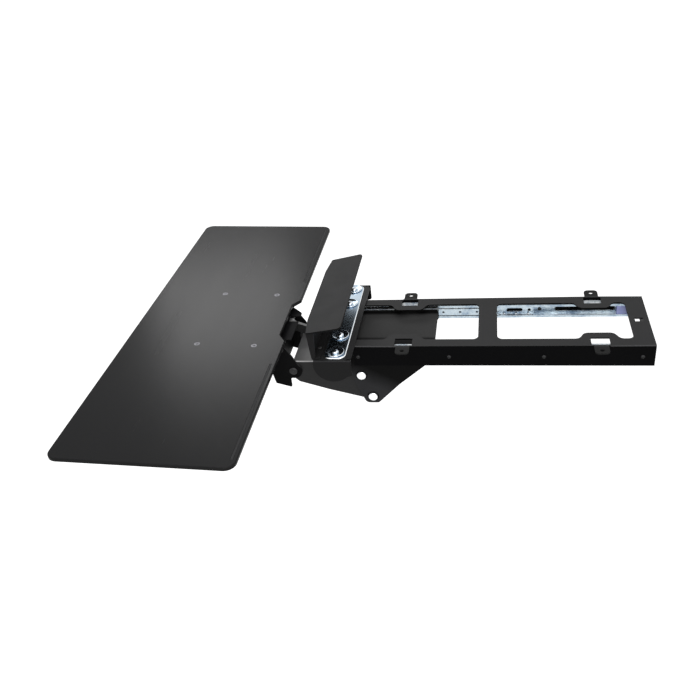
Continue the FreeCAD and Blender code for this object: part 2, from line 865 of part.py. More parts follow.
def arm_channel():
    """Channel open below; its side plates carry an eye at each end"""
    outline = [
        (arm_front, arm_top, s.arm_top_round),
        (front_pivot_y - s.arm_nose, front_pivot_z + s.arm_nose_rise, s.arm_round),
        (front_pivot_y - s.arm_nose, front_pivot_z - s.arm_nose_drop, s.arm_round),
        (front_pivot_y + s.arm_belly_run, front_pivot_z - s.arm_belly_drop, s.arm_round),
        (front_pivot_y + s.arm_keel_run, front_pivot_z - s.arm_keel_drop, s.arm_round),
        (arm_pivot_y - s.arm_heel_run, arm_pivot_z - s.arm_heel_drop, s.arm_round),
        (arm_pivot_y, arm_pivot_z - s.arm_eye),
        (arm_pivot_y, arm_pivot_z + s.arm_eye),
        (arm_pivot_y - s.arm_neck_run, arm_pivot_z + s.arm_neck_rise),
        (link_pivot_y - s.arm_shoulder_run, link_pivot_z + s.arm_shoulder_rise, s.arm_round),
        (arm_rear, arm_top, s.arm_top_round),
    ]
    side = plate("YZ_Plane", arm_inside, s.sheet, outline)
    eyes = [
        rod_x(s.arm_eye * 2, arm_inside, s.arm_half_width, arm_pivot_y, arm_pivot_z),
        rod_x(s.front_eye * 2, arm_inside, s.arm_half_width, front_pivot_y, front_pivot_z),
    ]
    wing = fuse(side, *eyes)
    top = block(-arm_inside - past, arm_inside + past, arm_front + s.arm_top_round,
                arm_rear - s.arm_top_round, arm_top - s.sheet, arm_top)
    reach = s.arm_half_width + past
    gaps = [
        rod_x(eye_hole, -reach, reach, arm_pivot_y, arm_pivot_z),
        rod_x(eye_hole, -reach, reach, front_pivot_y, front_pivot_z),
        block(-s.link_offset - s.link_boss / 2 - s.link_slot_margin,
              -s.link_offset + s.link_boss / 2 + s.link_slot_margin,
              slot_front, arm_rear + past, arm_top - s.sheet - past, arm_top + past),
    ]
    gaps += [rod_z(s.rivet_shank + s.play, arm_top - s.sheet - past, arm_top + past, x, y)
             for x, y in riser_feet()]
    return cut(fuse(wing, mirror(wing), top), *gaps)


def arm_bush(y, z, side_gap):
    start = arm_inside
    flange = s.arm_half_width
    bush = fuse(
        rod_x(eye_hole, start, flange, y, z),
        rod_x(eye_hole + 2 * s.bush_wall, flange, flange + side_gap - s.play, y, z),
    )
    return pair(cut(bush, rod_x(s.axle + s.play, start - past, flange + side_gap + past, y, z)))


def arm_bushes():
    return group(
        arm_bush(arm_pivot_y, arm_pivot_z, carriage_inside - s.arm_half_width),
        arm_bush(front_pivot_y, front_pivot_z, s.yoke_gap),
    )


# Housing that rides on the arm

riser_rear = lift_start - s.riser_ahead
riser_front = riser_rear - s.riser_length
base_bottom = s.base_lift
base_top = s.base_lift + s.sheet
base_rear = lift_start + s.base_setback
base_front = base_rear - s.base_depth
zinc_middle = lift_start - s.zinc_ahead
zinc_top = base_top + s.sheet
riser_feet_x = s.riser_half_width + s.riser_flange / 2


def riser_feet():
    ends = (riser_front + s.riser_rivet_margin, riser_rear - s.riser_rivet_margin)
    return [(side * riser_feet_x, y) for side in (-1, 1) for y in ends]


def riser_screw_places():
    middle = (riser_front + riser_rear) / 2
    return [(side * s.riser_screw_cross / 2, middle + end * s.riser_screw_pitch / 2)
            for side in (-1, 1) for end in (-1, 1)]


def housing_riser():
    """Hat-shaped bracket that lifts the housing clear of the track"""
    inner = s.riser_half_width - s.sheet
    foot = s.riser_half_width + s.riser_flange
    high = base_bottom
    section = [
        (inner, arm_top), (foot, arm_top), (foot, arm_top + s.sheet),
        (s.riser_half_width, arm_top + s.sheet), (s.riser_half_width, high),
        (-s.riser_half_width, high), (-s.riser_half_width, arm_top + s.sheet),
        (-foot, arm_top + s.sheet), (-foot, arm_top), (-inner, arm_top),
        (-inner, high - s.sheet), (inner, high - s.sheet),
    ]
    riser = plate("XZ_Plane", -riser_rear, s.riser_length, section)
    gaps = [rod_z(s.rivet_shank + s.play, arm_top - past, arm_top + s.sheet + past, x, y)
            for x, y in riser_feet()]
    gaps += [rod_z(s.rivet_shank + s.play, high - s.sheet - past, high + past, x, y)
             for x, y in riser_screw_places()]
    return cut(riser, *gaps)


def riser_rivet(x, y):
    low = arm_top - s.sheet
    high = arm_top + s.sheet
    return fuse(
        rod_z(s.rivet_shank, low - s.rivet_dome, high + s.rivet_dome, x, y),
        cone_z(s.rivet_head, s.rivet_top, high, s.rivet_dome, x, y),
        cone_z(s.rivet_top, s.rivet_crimp, low - s.rivet_dome, s.rivet_dome, x, y),
    )


def riser_screw(x, y):
    under = base_bottom - s.sheet
    return fuse(
        rod_z(s.rivet_shank, under, base_top, x, y),
        hexagon_z(s.riser_screw_head, under - s.riser_screw_head_depth, under, x, y),
    )


def housing_base():
    """Wide plate with a rounded cheek hanging at each end, outside the track"""
    outline = [
        (s.base_half_width, base_rear, s.base_corner),
        (-s.base_half_width, base_rear, s.base_corner),
        (-s.base_half_width, base_front, s.base_corner),
        (s.base_half_width, base_front, s.base_corner),
    ]
    holes = [(x, zinc_middle, s.clamp_bolt + s.play) for x in clamp_bolt_places()]
    holes += [(x, y, s.rivet_shank + s.play) for x, y in riser_screw_places()]
    holes += [(x, shell_rivet_y, s.rivet_shank + s.play) for x in shell_rivet_places()]
    slab = plate("XY_Plane", base_bottom, s.sheet, outline, (), holes)
    inner = s.base_half_width - s.cheek_sheet
    middle_y = lift_start - s.cheek_centre_ahead
    middle_z = -s.cheek_centre_drop
    disc = rod_x(s.cheek_radius * 2, inner, s.base_half_width, middle_y, middle_z)
    keep = block(inner - past, s.base_half_width + past, middle_y - s.cheek_radius - past, base_rear - s.play,
                 middle_z - s.cheek_radius - past, base_top)
    cheek = common(disc, keep)
    return fuse(slab, cheek, mirror(cheek))


def clamp_bolt_places():
    return [-s.outer_bolts / 2, -s.inner_bolts / 2, s.inner_bolts / 2, s.outer_bolts / 2]


def lock_plate():
    end = s.zinc_length / 2
    half = s.zinc_width / 2
    corners = rectangle(-end, end, zinc_middle - half, zinc_middle + half)
    holes = [(x, zinc_middle, s.clamp_bolt + s.play) for x in clamp_bolt_places()]
    slab = plate("XY_Plane", base_top, s.sheet, [(*corner, s.zinc_corner) for corner in corners], (), holes)
    sockets = [rod_z(s.rivet_shank + s.play, base_top - past, zinc_top - s.sheet / 2, x, y)
               for x, y in riser_screw_places()]
    return cut(slab, *sockets)


def clamp_washer(x):
    bore = s.clamp_bolt + s.play
    dish = fuse(
        rod_z(s.clamp_washer, zinc_top, zinc_top + s.clamp_washer_rim, x, zinc_middle),
        cone_z(s.clamp_washer, s.clamp_washer_crown, zinc_top + s.clamp_washer_rim,
               s.clamp_washer_depth - s.clamp_washer_rim, x, zinc_middle),
    )
    return cut(dish, rod_z(bore, zinc_top - past, zinc_top + s.clamp_washer_depth + past, x, zinc_middle))


def clamp_bolt(x):
    seat = zinc_top + s.clamp_washer_depth
    return fuse(
        rod_z(s.clamp_bolt, base_bottom, seat, x, zinc_middle),
        hexagon_z(s.clamp_bolt_head, seat, seat + s.clamp_bolt_head_depth, x, zinc_middle),
    )


cover_front_y = lift_start - s.cover_front_ahead
cover_front_z = s.cover_front_height
shell_foot = base_front + s.shell_step
shell_rivet_y = shell_foot + s.shell_rivet_setback


def shell_rivet_places():
    return [-s.shell_rivet_cross / 2, zero, s.shell_rivet_cross / 2]


def along_cover(distance, rise):
    """A point of the cover's own side view, placed in space"""
    slope = s.cover_slope
    return (cover_front_y + distance * cosine(slope) - rise * sine(slope),
            cover_front_z + distance * sine(slope) + rise * cosine(slope))


def front_shell():
    """Wall behind the tray: a foot on the base, and a folded rim that the cover lies on"""
    flange_end = shell_foot + s.shell_flange
    rim_end = s.shell_inset + s.shell_flange
    profile = [
        (flange_end, base_top),
        (shell_foot, base_top, s.shell_bend),
        (*along_cover(s.shell_inset, 0), s.shell_bend),
        along_cover(rim_end, 0),
        along_cover(rim_end, -s.sheet),
        along_cover(s.shell_inset + s.sheet, -s.sheet),
        (shell_foot + s.sheet, base_top + s.sheet),
        (flange_end, base_top + s.sheet),
    ]
    wall = plate("YZ_Plane", -s.shell_half_width, s.shell_half_width * 2, profile)
    end_wall = plate("YZ_Plane", s.shell_half_width - s.sheet, s.sheet, [
        (shell_foot + past, base_top + past),
        along_cover(s.shell_inset + past, -past),
        along_cover(s.shell_inset + s.shell_end_top, -past),
        (shell_foot + s.shell_end_foot, base_top + past),
    ])
    shell = fuse(wall, end_wall, mirror(end_wall))
    holes = [rod_z(s.rivet_shank + s.play, base_top - past, base_top + s.sheet + past, x, shell_rivet_y)
             for x in shell_rivet_places()]
    holes += [cover_rod(s.cover_screw + s.play, -s.sheet - past, past, x)
              for x in cover_screw_places()]
    return cut(shell, *holes)


def shell_rivet(x):
    top = base_top + s.sheet
    return fuse(
        rod_z(s.rivet_shank, base_bottom, top + s.rivet_dome, x, shell_rivet_y),
        cone_z(s.rivet_head, s.rivet_top, top, s.rivet_dome, x, shell_rivet_y),
    )


def cover_rod(diameter, low, high, x):
    """A cylinder square to the cover, in the row of its screws"""
    y, z = along_cover(s.cover_screw_setback, low)
    item = doc.addObject("Part::Cylinder", "rod")
    bind(item, "Radius", diameter / 2)
    bind(item, "Height", high - low)
    place(item, x, y, z, Rotation(Vector(1, 0, 0), number(s.cover_slope)))
    bind(item, "Placement.Rotation.Angle", s.cover_slope)
    return item


def cover_screw_places():
    return [-s.cover_screw_cross * 0.75, -s.cover_screw_cross * 0.25,
            s.cover_screw_cross * 0.25, s.cover_screw_cross * 0.75]


def cover_screw(x):
    return fuse(
        cover_rod(s.cover_screw, -s.sheet, s.cover_screw_bite, x),
        cover_rod(s.cover_screw_head, -s.sheet - s.cover_screw_head_depth, -s.sheet, x),
    )


def cover_plate():
    """Plain cap that slopes up towards the desk; no name or mark on it"""
    outline = [
        (-s.cover_front_half_width, s.cover_bow, s.cover_front_corner),
        (-s.cover_bow_half_width, zero, s.cover_bow_round),
        (s.cover_bow_half_width, zero, s.cover_bow_round),
        (s.cover_front_half_width, s.cover_bow, s.cover_front_corner),
        (s.cover_rear_half_width, s.cover_depth, s.cover_corner),
        (-s.cover_rear_half_width, s.cover_depth, s.cover_corner),
    ]
    cap = plate("XY_Plane", 0, s.cover_gauge, outline)
    place(cap, 0, cover_front_y, cover_front_z, Rotation(Vector(1, 0, 0), number(s.cover_slope)))
    bind(cap, "Placement.Rotation.Angle", s.cover_slope)
    sockets = [cover_rod(s.cover_screw + s.play, -past, s.cover_screw_bite, x)
               for x in cover_screw_places()]
    return cut(cap, *sockets)


# Levelling link

def levelling_link():
    """Flat bar with a boss at each end, parallel to the arm, so that the tray stays level"""
    half = s.link_width / 2
    x0 = -s.link_offset - s.link_gauge / 2
    x1 = -s.link_offset + s.link_gauge / 2
    length = Size(math.hypot(number(s.arm_run), number(s.arm_rise)),
                  f"sqrt({s.arm_run.text}^2 + {s.arm_rise.text}^2)")
    lean_y = half * s.arm_rise / length
    lean_z = half * s.arm_run / length
    bar = plate("YZ_Plane", x0, s.link_gauge, [
        (link_pivot_y - lean_y, link_pivot_z - lean_z),
        (link_pivot_y + lean_y, link_pivot_z + lean_z),
        (levelling_y + lean_y, levelling_z + lean_z),
        (levelling_y - lean_y, levelling_z - lean_z),
    ])
    boss0 = -s.link_offset - s.link_boss / 2
    boss1 = -s.link_offset + s.link_boss / 2
    solid = fuse(
        bar,
        rod_x(s.link_width, boss0, boss1, link_pivot_y, link_pivot_z),
        rod_x(s.link_width, boss0, boss1, levelling_y, levelling_z),
    )
    return cut(
        solid,
        rod_x(s.axle + 2 * s.play, boss0 - past, boss1 + past, link_pivot_y, link_pivot_z),
        rod_x(s.levelling_pin + 2 * s.play, boss0 - past, boss1 + past, levelling_y, levelling_z),
    )


# Head, which stays level at the front of the arm

yoke_inside = s.arm_half_width + s.yoke_gap
yoke_outside = yoke_inside + s.yoke_sheet
yoke_web_y = tilt_y + s.yoke_web_setback


def head_yoke():
    """Two cheeks outside the arm, joined by a folded web ahead of the arm's front eye"""
    outline = [
        (tray_rear - s.yoke_top_reach, tilt_z + s.yoke_top_rise, s.yoke_small_round),
        (tray_rear + s.yoke_back_reach, tilt_z - s.yoke_back_drop, s.yoke_round),
        (front_pivot_y + s.yoke_eye_reach, front_pivot_z + s.yoke_eye_rise),
        (front_pivot_y, front_pivot_z - s.yoke_eye_reach),
        (front_pivot_y - s.yoke_heel_run, front_pivot_z - s.yoke_heel_rise),
        (front_pivot_y - s.yoke_heel_run, front_pivot_z - s.yoke_heel_drop, s.yoke_small_round),
        (front_pivot_y - s.yoke_toe_run, front_pivot_z - s.yoke_toe_drop, s.yoke_small_round),
        (front_pivot_y - s.yoke_shin_run, front_pivot_z - s.yoke_shin_drop, s.yoke_round),
        (tilt_y - s.yoke_nose, tilt_z - s.yoke_nose, s.yoke_round),
        (tilt_y - s.yoke_nose, tilt_z + s.yoke_nose_rise, s.yoke_round),
        (tilt_y - s.yoke_brow_run, tilt_z + s.yoke_brow_rise, s.yoke_round),
        (tilt_y + s.yoke_crown_run, tilt_z + s.yoke_crown_rise),
    ]
    holes = [
        (front_pivot_y, front_pivot_z, s.axle + s.play),
        (levelling_y, levelling_z, s.levelling_pin + s.play),
        (tilt_y, tilt_z, s.axle + s.play),
    ]
    side = plate("YZ_Plane", yoke_inside, s.yoke_sheet, outline, (), holes)
    eye = cut(rod_x(s.yoke_eye * 2, yoke_inside, yoke_outside, front_pivot_y, front_pivot_z),
              rod_x(s.axle + s.play, yoke_inside - past, yoke_outside + past, front_pivot_y, front_pivot_z))
    cheek = fuse(side, eye)
    web = block(-yoke_inside - past, yoke_inside + past, yoke_web_y, yoke_web_y + s.yoke_sheet,
                front_pivot_z - s.yoke_toe_drop, front_pivot_z + s.arm_top_above_eye)
    return fuse(cheek, mirror(cheek), web, head_bridge())


def head_bridge():
    """Flat bridge behind the tilt bolt, slotted where the levelling link swings up"""
    front = front_pivot_y - s.bridge_ahead
    rear = front + s.bridge_depth
    under = -s.bridge_drop - s.bridge_sheet
    far = -yoke_inside - past
    outline = [
        (far, front),
        (s.bridge_end, front),
        (s.bridge_end, rear),
        (far + s.bridge_corner_run, rear),
        (far, rear - s.bridge_corner_depth),
    ]
    bridge = plate("XY_Plane", under, s.bridge_sheet, outline)
    slot_half = s.link_boss / 2 + s.link_slot_margin
    slot = block(-s.link_offset - slot_half, -s.link_offset + slot_half, rear - s.bridge_slot_depth,
                 rear + past, under - past, past - s.bridge_drop)
    return cut(bridge, slot)


def tilt_bolt():
    return fuse(
        rod_x(s.axle, -yoke_outside, yoke_outside + s.nut_depth + s.bolt_end, tilt_y, tilt_z),
        hexagon_x(s.nut_width, -yoke_outside - s.bolt_head_depth, -yoke_outside, tilt_y, tilt_z),
    )


def tilt_nut():
    nut = hexagon_x(s.nut_width, yoke_outside, yoke_outside + s.nut_depth, tilt_y, tilt_z)
    return cut(nut, rod_x(s.axle + s.play, yoke_outside - past, yoke_outside + s.nut_depth + past, tilt_y, tilt_z))


# Tray and the bracket that tilts it

slope_cosine = cosine(s.tray_slope)
slope_sine = sine(s.tray_slope)
bracket_outside = yoke_inside - s.tilt_side_gap
bracket_inside = bracket_outside - s.bracket_sheet
bracket_half_width = s.tray_screw_cross / 2 + s.bracket_margin


def on_tray(distance, rise):
    """A point so far ahead of the tray's rear edge and above its top face, in side view"""
    return (tray_rear - distance * slope_cosine + rise * slope_sine,
            tray_top + distance * slope_sine + rise * slope_cosine)


def tilt_bracket():
    under = -s.tray_thickness
    low = under - s.bracket_sheet
    first = s.tray_screw_first - s.bracket_overhang
    last = s.tray_screw_first + s.tray_screw_pitch + s.bracket_overhang
    slab = plate("YZ_Plane", -bracket_half_width, bracket_half_width * 2, [
        on_tray(first, under), on_tray(last, under), on_tray(last, low), on_tray(first, low),
    ])
    slant = s.tilt_hub * 0.7
    cheek = plate("YZ_Plane", bracket_inside, s.bracket_sheet, [
        on_tray(first, low + past),
        on_tray(first + s.bracket_cheek_length, low + past),
        (tilt_y - slant, tilt_z - slant),
        (tilt_y + slant, tilt_z - slant),
        (tilt_y + slant, tilt_z + slant),
    ])
    hub = rod_x(s.tilt_hub * 2, bracket_inside, bracket_outside, tilt_y, tilt_z)
    reach = bracket_outside + past
    gaps = [rod_x(s.axle + s.play, -reach, reach, tilt_y, tilt_z)]
    gaps += [tray_rod(s.tray_screw + s.play, low - past, under + past, x, ahead)
             for x, ahead in tray_screw_places()]
    wing = fuse(cheek, hub)
    return cut(fuse(slab, wing, mirror(wing)), *gaps)


def tilt_spacer():
    outside = s.axle + 2 * s.spacer_wall
    tube = rod_x(outside, -bracket_inside, bracket_inside, tilt_y, tilt_z)
    return cut(tube, rod_x(s.axle + s.play, -bracket_inside - past, bracket_inside + past, tilt_y, tilt_z))


def tilted(item, x, ahead, rise):
    """Puts a piece square to the tray's top face"""
    y, z = on_tray(ahead, rise)
    place(item, x, y, z, Rotation(Vector(1, 0, 0), -number(s.tray_slope)))
    bind(item, "Placement.Rotation.Angle", -s.tray_slope)
    return item


def tray_rod(diameter, low, high, x, ahead):
    item = doc.addObject("Part::Cylinder", "rod")
    bind(item, "Radius", diameter / 2)
    bind(item, "Height", high - low)
    return tilted(item, x, ahead, low)


def tray_screw_places():
    rows = (s.tray_screw_first, s.tray_screw_first + s.tray_screw_pitch)
    return [(side * s.tray_screw_cross / 2, ahead) for side in (-1, 1) for ahead in rows]


def tray_board():
    """Board with rounded corners and a shallow notch at the back for the head"""
    half = s.tray_width / 2
    outline = [
        (-half, zero, s.tray_corner),
        (-half, -s.tray_depth, s.tray_corner),
        (half, -s.tray_depth, s.tray_corner),
        (half, zero, s.tray_corner),
        (s.notch_mouth / 2, zero, s.notch_mouth_corner),
        (s.notch_width / 2, -s.notch_depth, s.notch_corner),
        (-s.notch_width / 2, -s.notch_depth, s.notch_corner),
        (-s.notch_mouth / 2, zero, s.notch_mouth_corner),
    ]
    holes = [(x, -ahead, s.tray_screw + s.play) for x, ahead in tray_screw_places()]
    board = plate("XY_Plane", -s.tray_thickness, s.tray_thickness, outline, (), holes)
    sinks = [tray_sink(s.play, x, ahead) for x, ahead in tray_screw_places()]
    grooves = [strip_bar(side, s.strip_play) for side in (-1, 1)]
    return cut(tilted(board, 0, 0, 0), *sinks, *grooves)


def tray_sink(play, x, ahead):
    """The cone of a flush screw head, or with some play of its seat in the board"""
    cone = doc.addObject("Part::Cone", "sunk_head")
    bind(cone, "Radius1", (s.tray_screw + play) / 2)
    bind(cone, "Radius2", (s.tray_screw_head + play) / 2)
    bind(cone, "Height", s.tray_screw_sink)
    return tilted(cone, x, ahead, -s.tray_screw_sink)


def tray_screw(x, ahead):
    low = -s.tray_thickness - s.bracket_sheet - s.tray_nut_depth - s.tray_screw_end
    shank = tray_rod(s.tray_screw, low, -s.tray_screw_sink, x, ahead)
    return fuse(shank, tray_sink(zero, x, ahead))


def tray_nut(x, ahead):
    under = -s.tray_thickness - s.bracket_sheet
    nut = doc.addObject("Part::Prism", "hexagon")
    nut.Polygon = 6
    bind(nut, "Circumradius", s.tray_nut_width / math.sqrt(3))
    bind(nut, "Height", s.tray_nut_depth)
    tilted(nut, x, ahead, under - s.tray_nut_depth)
    return cut(nut, tray_rod(s.tray_screw + s.play, under - s.tray_nut_depth - past, under + past, x, ahead))


def strip_bar(side, play):
    """A strip let into the top face near its rear edge, or with some play its groove"""
    start = s.strip_start if side == 1 else -s.strip_start - s.strip_length
    rear = -s.strip_inset
    bar = plate("XY_Plane", -s.strip_depth - play, s.strip_depth + play, rectangle(
        start - play, start + s.strip_length + play, rear - s.strip_width - play, rear + play))
    return tilted(bar, 0, 0, 0)


def rear_strips():
    return group(*[strip_bar(side, zero) for side in (-1, 1)])


node("track_frame", track_frame())
node("outer_slide_rails", outer_slide_rails())
node("slide_rivets", group(*[pair(wall_rivet(y)) for y in rivet_rows()]))
node("slide_end_stops", slide_end_stops())

node("ball_cages", ball_cages())
node("cage_balls", cage_balls())

node("carriage_bracket", carriage_bracket())
node("inner_slide_rails", inner_slide_rails())
node("inner_rail_rivets", group(*[pair(inner_rivet(y)) for y in inner_rivet_rows()]))
node("arm_pivot_axle", headed_axle(s.axle, s.axle_head, axle_reach, arm_pivot_y, arm_pivot_z))
node("link_pivot_axle", headed_axle(s.axle, s.axle_head, axle_reach, link_pivot_y, link_pivot_z))
node("pivot_washers", pivot_washers())

node("arm_channel", arm_channel())
node("arm_bushes", arm_bushes())
node("housing_riser", housing_riser())
node("riser_rivets", group(*[riser_rivet(x, y) for x, y in riser_feet()]))
node("riser_screws", group(*[riser_screw(x, y) for x, y in riser_screw_places()]))
node("housing_base", housing_base())
node("lock_plate", lock_plate())
node("clamp_washers", group(*[clamp_washer(x) for x in clamp_bolt_places()]))
node("clamp_bolts", group(*[clamp_bolt(x) for x in clamp_bolt_places()]))
node("front_shell", front_shell())
node("shell_rivets", group(*[shell_rivet(x) for x in shell_rivet_places()]))
node("cover_plate", cover_plate())
node("cover_screws", group(*[cover_screw(x) for x in cover_screw_places()]))

node("levelling_link", levelling_link())

node("head_yoke", head_yoke())
node("front_arm_axle", headed_axle(s.axle, s.axle_head, yoke_outside, front_pivot_y, front_pivot_z))
node("levelling_axle", headed_axle(s.levelling_pin, s.levelling_head, yoke_outside, levelling_y, levelling_z))
node("tilt_bolt", tilt_bolt())
node("tilt_nut", tilt_nut())

node("tilt_bracket", tilt_bracket())
node("tilt_spacer", tilt_spacer())
node("tray_board", tray_board())
node("tray_screws", group(*[tray_screw(x, ahead) for x, ahead in tray_screw_places()]))
node("tray_nuts", group(*[tray_nut(x, ahead) for x, ahead in tray_screw_places()]))
node("rear_strips", rear_strips())

doc.recompute()

for item in doc.Objects:
    if "Invalid" in item.State or "Error" in item.State:
        raise ValueError(f"{item.Name} ({item.Label}) did not compute: {item.State}")
for item in NODES:
    if item.Shape.isNull() or not item.Shape.isValid():
        raise ValueError(f"{item.Label} has no valid shape")
    box = item.Shape.BoundBox
    print(f"{item.Label:20s} solids {len(item.Shape.Solids):3d}  volume {item.Shape.Volume:10.0f}  "
          f"x {box.XMin:7.1f} {box.XMax:7.1f}  y {box.YMin:7.1f} {box.YMax:7.1f}  "
          f"z {box.ZMin:7.1f} {box.ZMax:7.1f}")
for item in NODES:
    item.Shape.exportStep(f"parts/{item.Label}.step")
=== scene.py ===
import json
import math

import bmesh
import bpy
from mathutils import Matrix, Vector


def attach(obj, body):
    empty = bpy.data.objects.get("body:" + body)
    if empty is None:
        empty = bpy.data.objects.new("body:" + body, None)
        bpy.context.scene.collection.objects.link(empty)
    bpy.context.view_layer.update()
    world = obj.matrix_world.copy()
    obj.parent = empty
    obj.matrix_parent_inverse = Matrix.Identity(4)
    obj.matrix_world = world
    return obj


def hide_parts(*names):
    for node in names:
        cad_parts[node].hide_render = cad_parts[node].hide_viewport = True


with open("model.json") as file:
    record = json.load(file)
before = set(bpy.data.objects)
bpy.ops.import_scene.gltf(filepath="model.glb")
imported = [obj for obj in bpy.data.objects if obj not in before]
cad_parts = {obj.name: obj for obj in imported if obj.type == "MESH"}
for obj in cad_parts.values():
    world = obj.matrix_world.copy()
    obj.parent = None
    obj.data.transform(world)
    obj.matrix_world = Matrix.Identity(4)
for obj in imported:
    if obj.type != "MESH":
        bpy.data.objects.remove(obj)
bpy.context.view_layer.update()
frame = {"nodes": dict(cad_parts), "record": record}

# Looks of a keyboard tray on an under-desk arm.
# Lengths are in millimetres in the pieces' dictionaries and become metres where a mesh is made.
# The camera, the lamps, the floor and places inside a finish are in metres.
mm = 0.001
scene = bpy.context.scene
behaviour = frame["record"]["behaviour"]
bodyOf = {node: body for body, nodes in behaviour["bodies"].items() for node in nodes}
pivotOf = {joint["name"]: joint["pos_m"] for joint in behaviour["joints"] if "pos_m" in joint}

# Camera: where it stands and which ways its frame faces
view = {
    "place": (1.01537, -0.00733, 0.61486),
    "right": (-0.1494, 0.9836, -0.1009),
    "up": (-0.5488, 0.0023, 0.8359),
    "back": (0.8225, 0.1803, 0.5395),
    "lens": 40.55,
    "sensor": 36,
    "nearest": 0.05,
    "furthest": 60,
}
camera = bpy.data.objects.new("camera", bpy.data.cameras.new("camera"))
scene.collection.objects.link(camera)
turn = Matrix((view["right"], view["up"], view["back"])).transposed().to_4x4()
camera.matrix_world = Matrix.Translation(view["place"]) @ turn
camera.data.lens = view["lens"]
camera.data.sensor_width = view["sensor"]
camera.data.clip_start = view["nearest"]
camera.data.clip_end = view["furthest"]
scene.camera = camera
print("camera is set")


# Noise patterns of the finishes: scale, detail, roughness and stretch
grains = {
    "paintCloud": (14, 4), "paintDust": (420, 5, 0.7), "paintSheen": (36, 3),
    "shadeEdge": (30, 4), "peel": (2600, 3, 0.6),
    "boardCloud": (5, 3), "boardWipe": (9, 4, 0.6, (0.35, 3.0, 1)), "boardFleck": (900, 4, 0.7),
    "boardPore": (5200, 2),
    "zincCloud": (38, 5, 0.6), "zincMottle": (170, 3, 0.7), "zincLines": (260, 3, 0.6, (1, 0.06, 1)),
    "plasticCloud": (60, 3), "plasticSheen": (300, 3), "plasticSkin": (1900, 3),
    "floorCloud": (3, 2),
}
# Masks read off how far a face looks up, from 0 on a wall to 1 on a top
rises = {
    "upward": ((0.15, 0), (0.85, 1)),
    "folds": ((0.12, 0), (0.40, 1), (0.82, 1), (0.97, 0)),
}


class Port:
    # A node's socket that can stand in a sum; every sum adds its Math node

    def __init__(self, paint, socket):
        self.paint = paint
        self.socket = socket

    def maths(self, operation, first, second):
        return self.paint.add("ShaderNodeMath", {"operation": operation}, [first, second])

    def __add__(self, other):
        return self.maths("ADD", self, other)

    __radd__ = __add__

    def __sub__(self, other):
        return self.maths("SUBTRACT", self, other)

    def __rsub__(self, other):
        return self.maths("SUBTRACT", other, self)

    def __mul__(self, other):
        return self.maths("MULTIPLY", self, other)

    __rmul__ = __mul__


class Paint:
    # One material while its nodes are being joined

    def __init__(self, name, tree=None):
        self.material = None if tree else bpy.data.materials.new(name)
        if self.material:
            self.material.use_nodes = True
        self.tree = tree or self.material.node_tree
        self.tree.nodes.clear()

    def add(self, kind, settings=None, values=(), out=0):
        node = self.tree.nodes.new(kind)
        for name, setting in (settings or {}).items():
            if name == "stops":
                while len(node.color_ramp.elements) < len(setting):
                    node.color_ramp.elements.new(0.5)
                for element, (spot, level) in zip(node.color_ramp.elements, setting):
                    element.position = spot
                    element.color = (level, level, level, 1)
            else:
                setattr(node, name, setting)
        for key, value in values.items() if isinstance(values, dict) else enumerate(values):
            if isinstance(value, Port):
                self.tree.links.new(value.socket, node.inputs[key])
            else:
                node.inputs[key].default_value = value
        return Port(self, node.outputs[out]) if node.outputs else None

    def where(self, stretch=(1, 1, 1)):
        spot = self.add("ShaderNodeTexCoord", out="Object")
        return self.add("ShaderNodeMapping", None, {"Vector": spot, "Scale": stretch})

    def noise(self, scale, detail=2.0, rough=0.5, stretch=(1, 1, 1)):
        return self.add("ShaderNodeTexNoise", None, {
            "Vector": self.where(stretch), "Scale": scale, "Detail": detail, "Roughness": rough})

    def grain(self, name):
        return self.noise(*grains[name])

    def part(self, vector, axis):
        return self.add("ShaderNodeSeparateXYZ", None, [vector], out=axis)

    def upward(self):
        # 1 on faces that look up, 0 on walls and under sides
        return self.ramp(self.rise(), *rises["upward"])

    def folds(self):
        # 1 along rounded upper edges, 0 on flat faces
        return self.ramp(self.rise(), *rises["folds"])

    def rise(self):
        return self.part(self.add("ShaderNodeTexCoord", out="Normal"), "Z")

    def beyond(self, axis, first, last):
        # 0 nearer to the middle plane than first, 1 further out than last
        away = self.add("ShaderNodeMath", {"operation": "ABSOLUTE"}, [self.part(self.where(), axis)])
        return self.ramp((away - first) * (1 / (last - first)), (0, 0), (1, 1))

    def ramp(self, value, *stops):
        return self.add("ShaderNodeValToRGB", {"stops": stops}, {"Fac": value})

    def blend(self, factor, first, second):
        return self.add("ShaderNodeMix", {"data_type": "RGBA"}, {0: factor, 6: first, 7: second}, out=2)

    def bump(self, height, depth, strength=1.0):
        return self.add("ShaderNodeBump", None, {
            "Height": height, "Distance": depth * mm, "Strength": strength})

    def shade(self, **values):
        named = {name.replace("_", " "): value for name, value in values.items()}
        surface = self.add("ShaderNodeBsdfPrincipled", None, named)
        self.add("ShaderNodeOutputMaterial", None, {"Surface": surface})
        return self.material


def grey(level, blue=0.0):
    return (level, level, level + blue, 1)
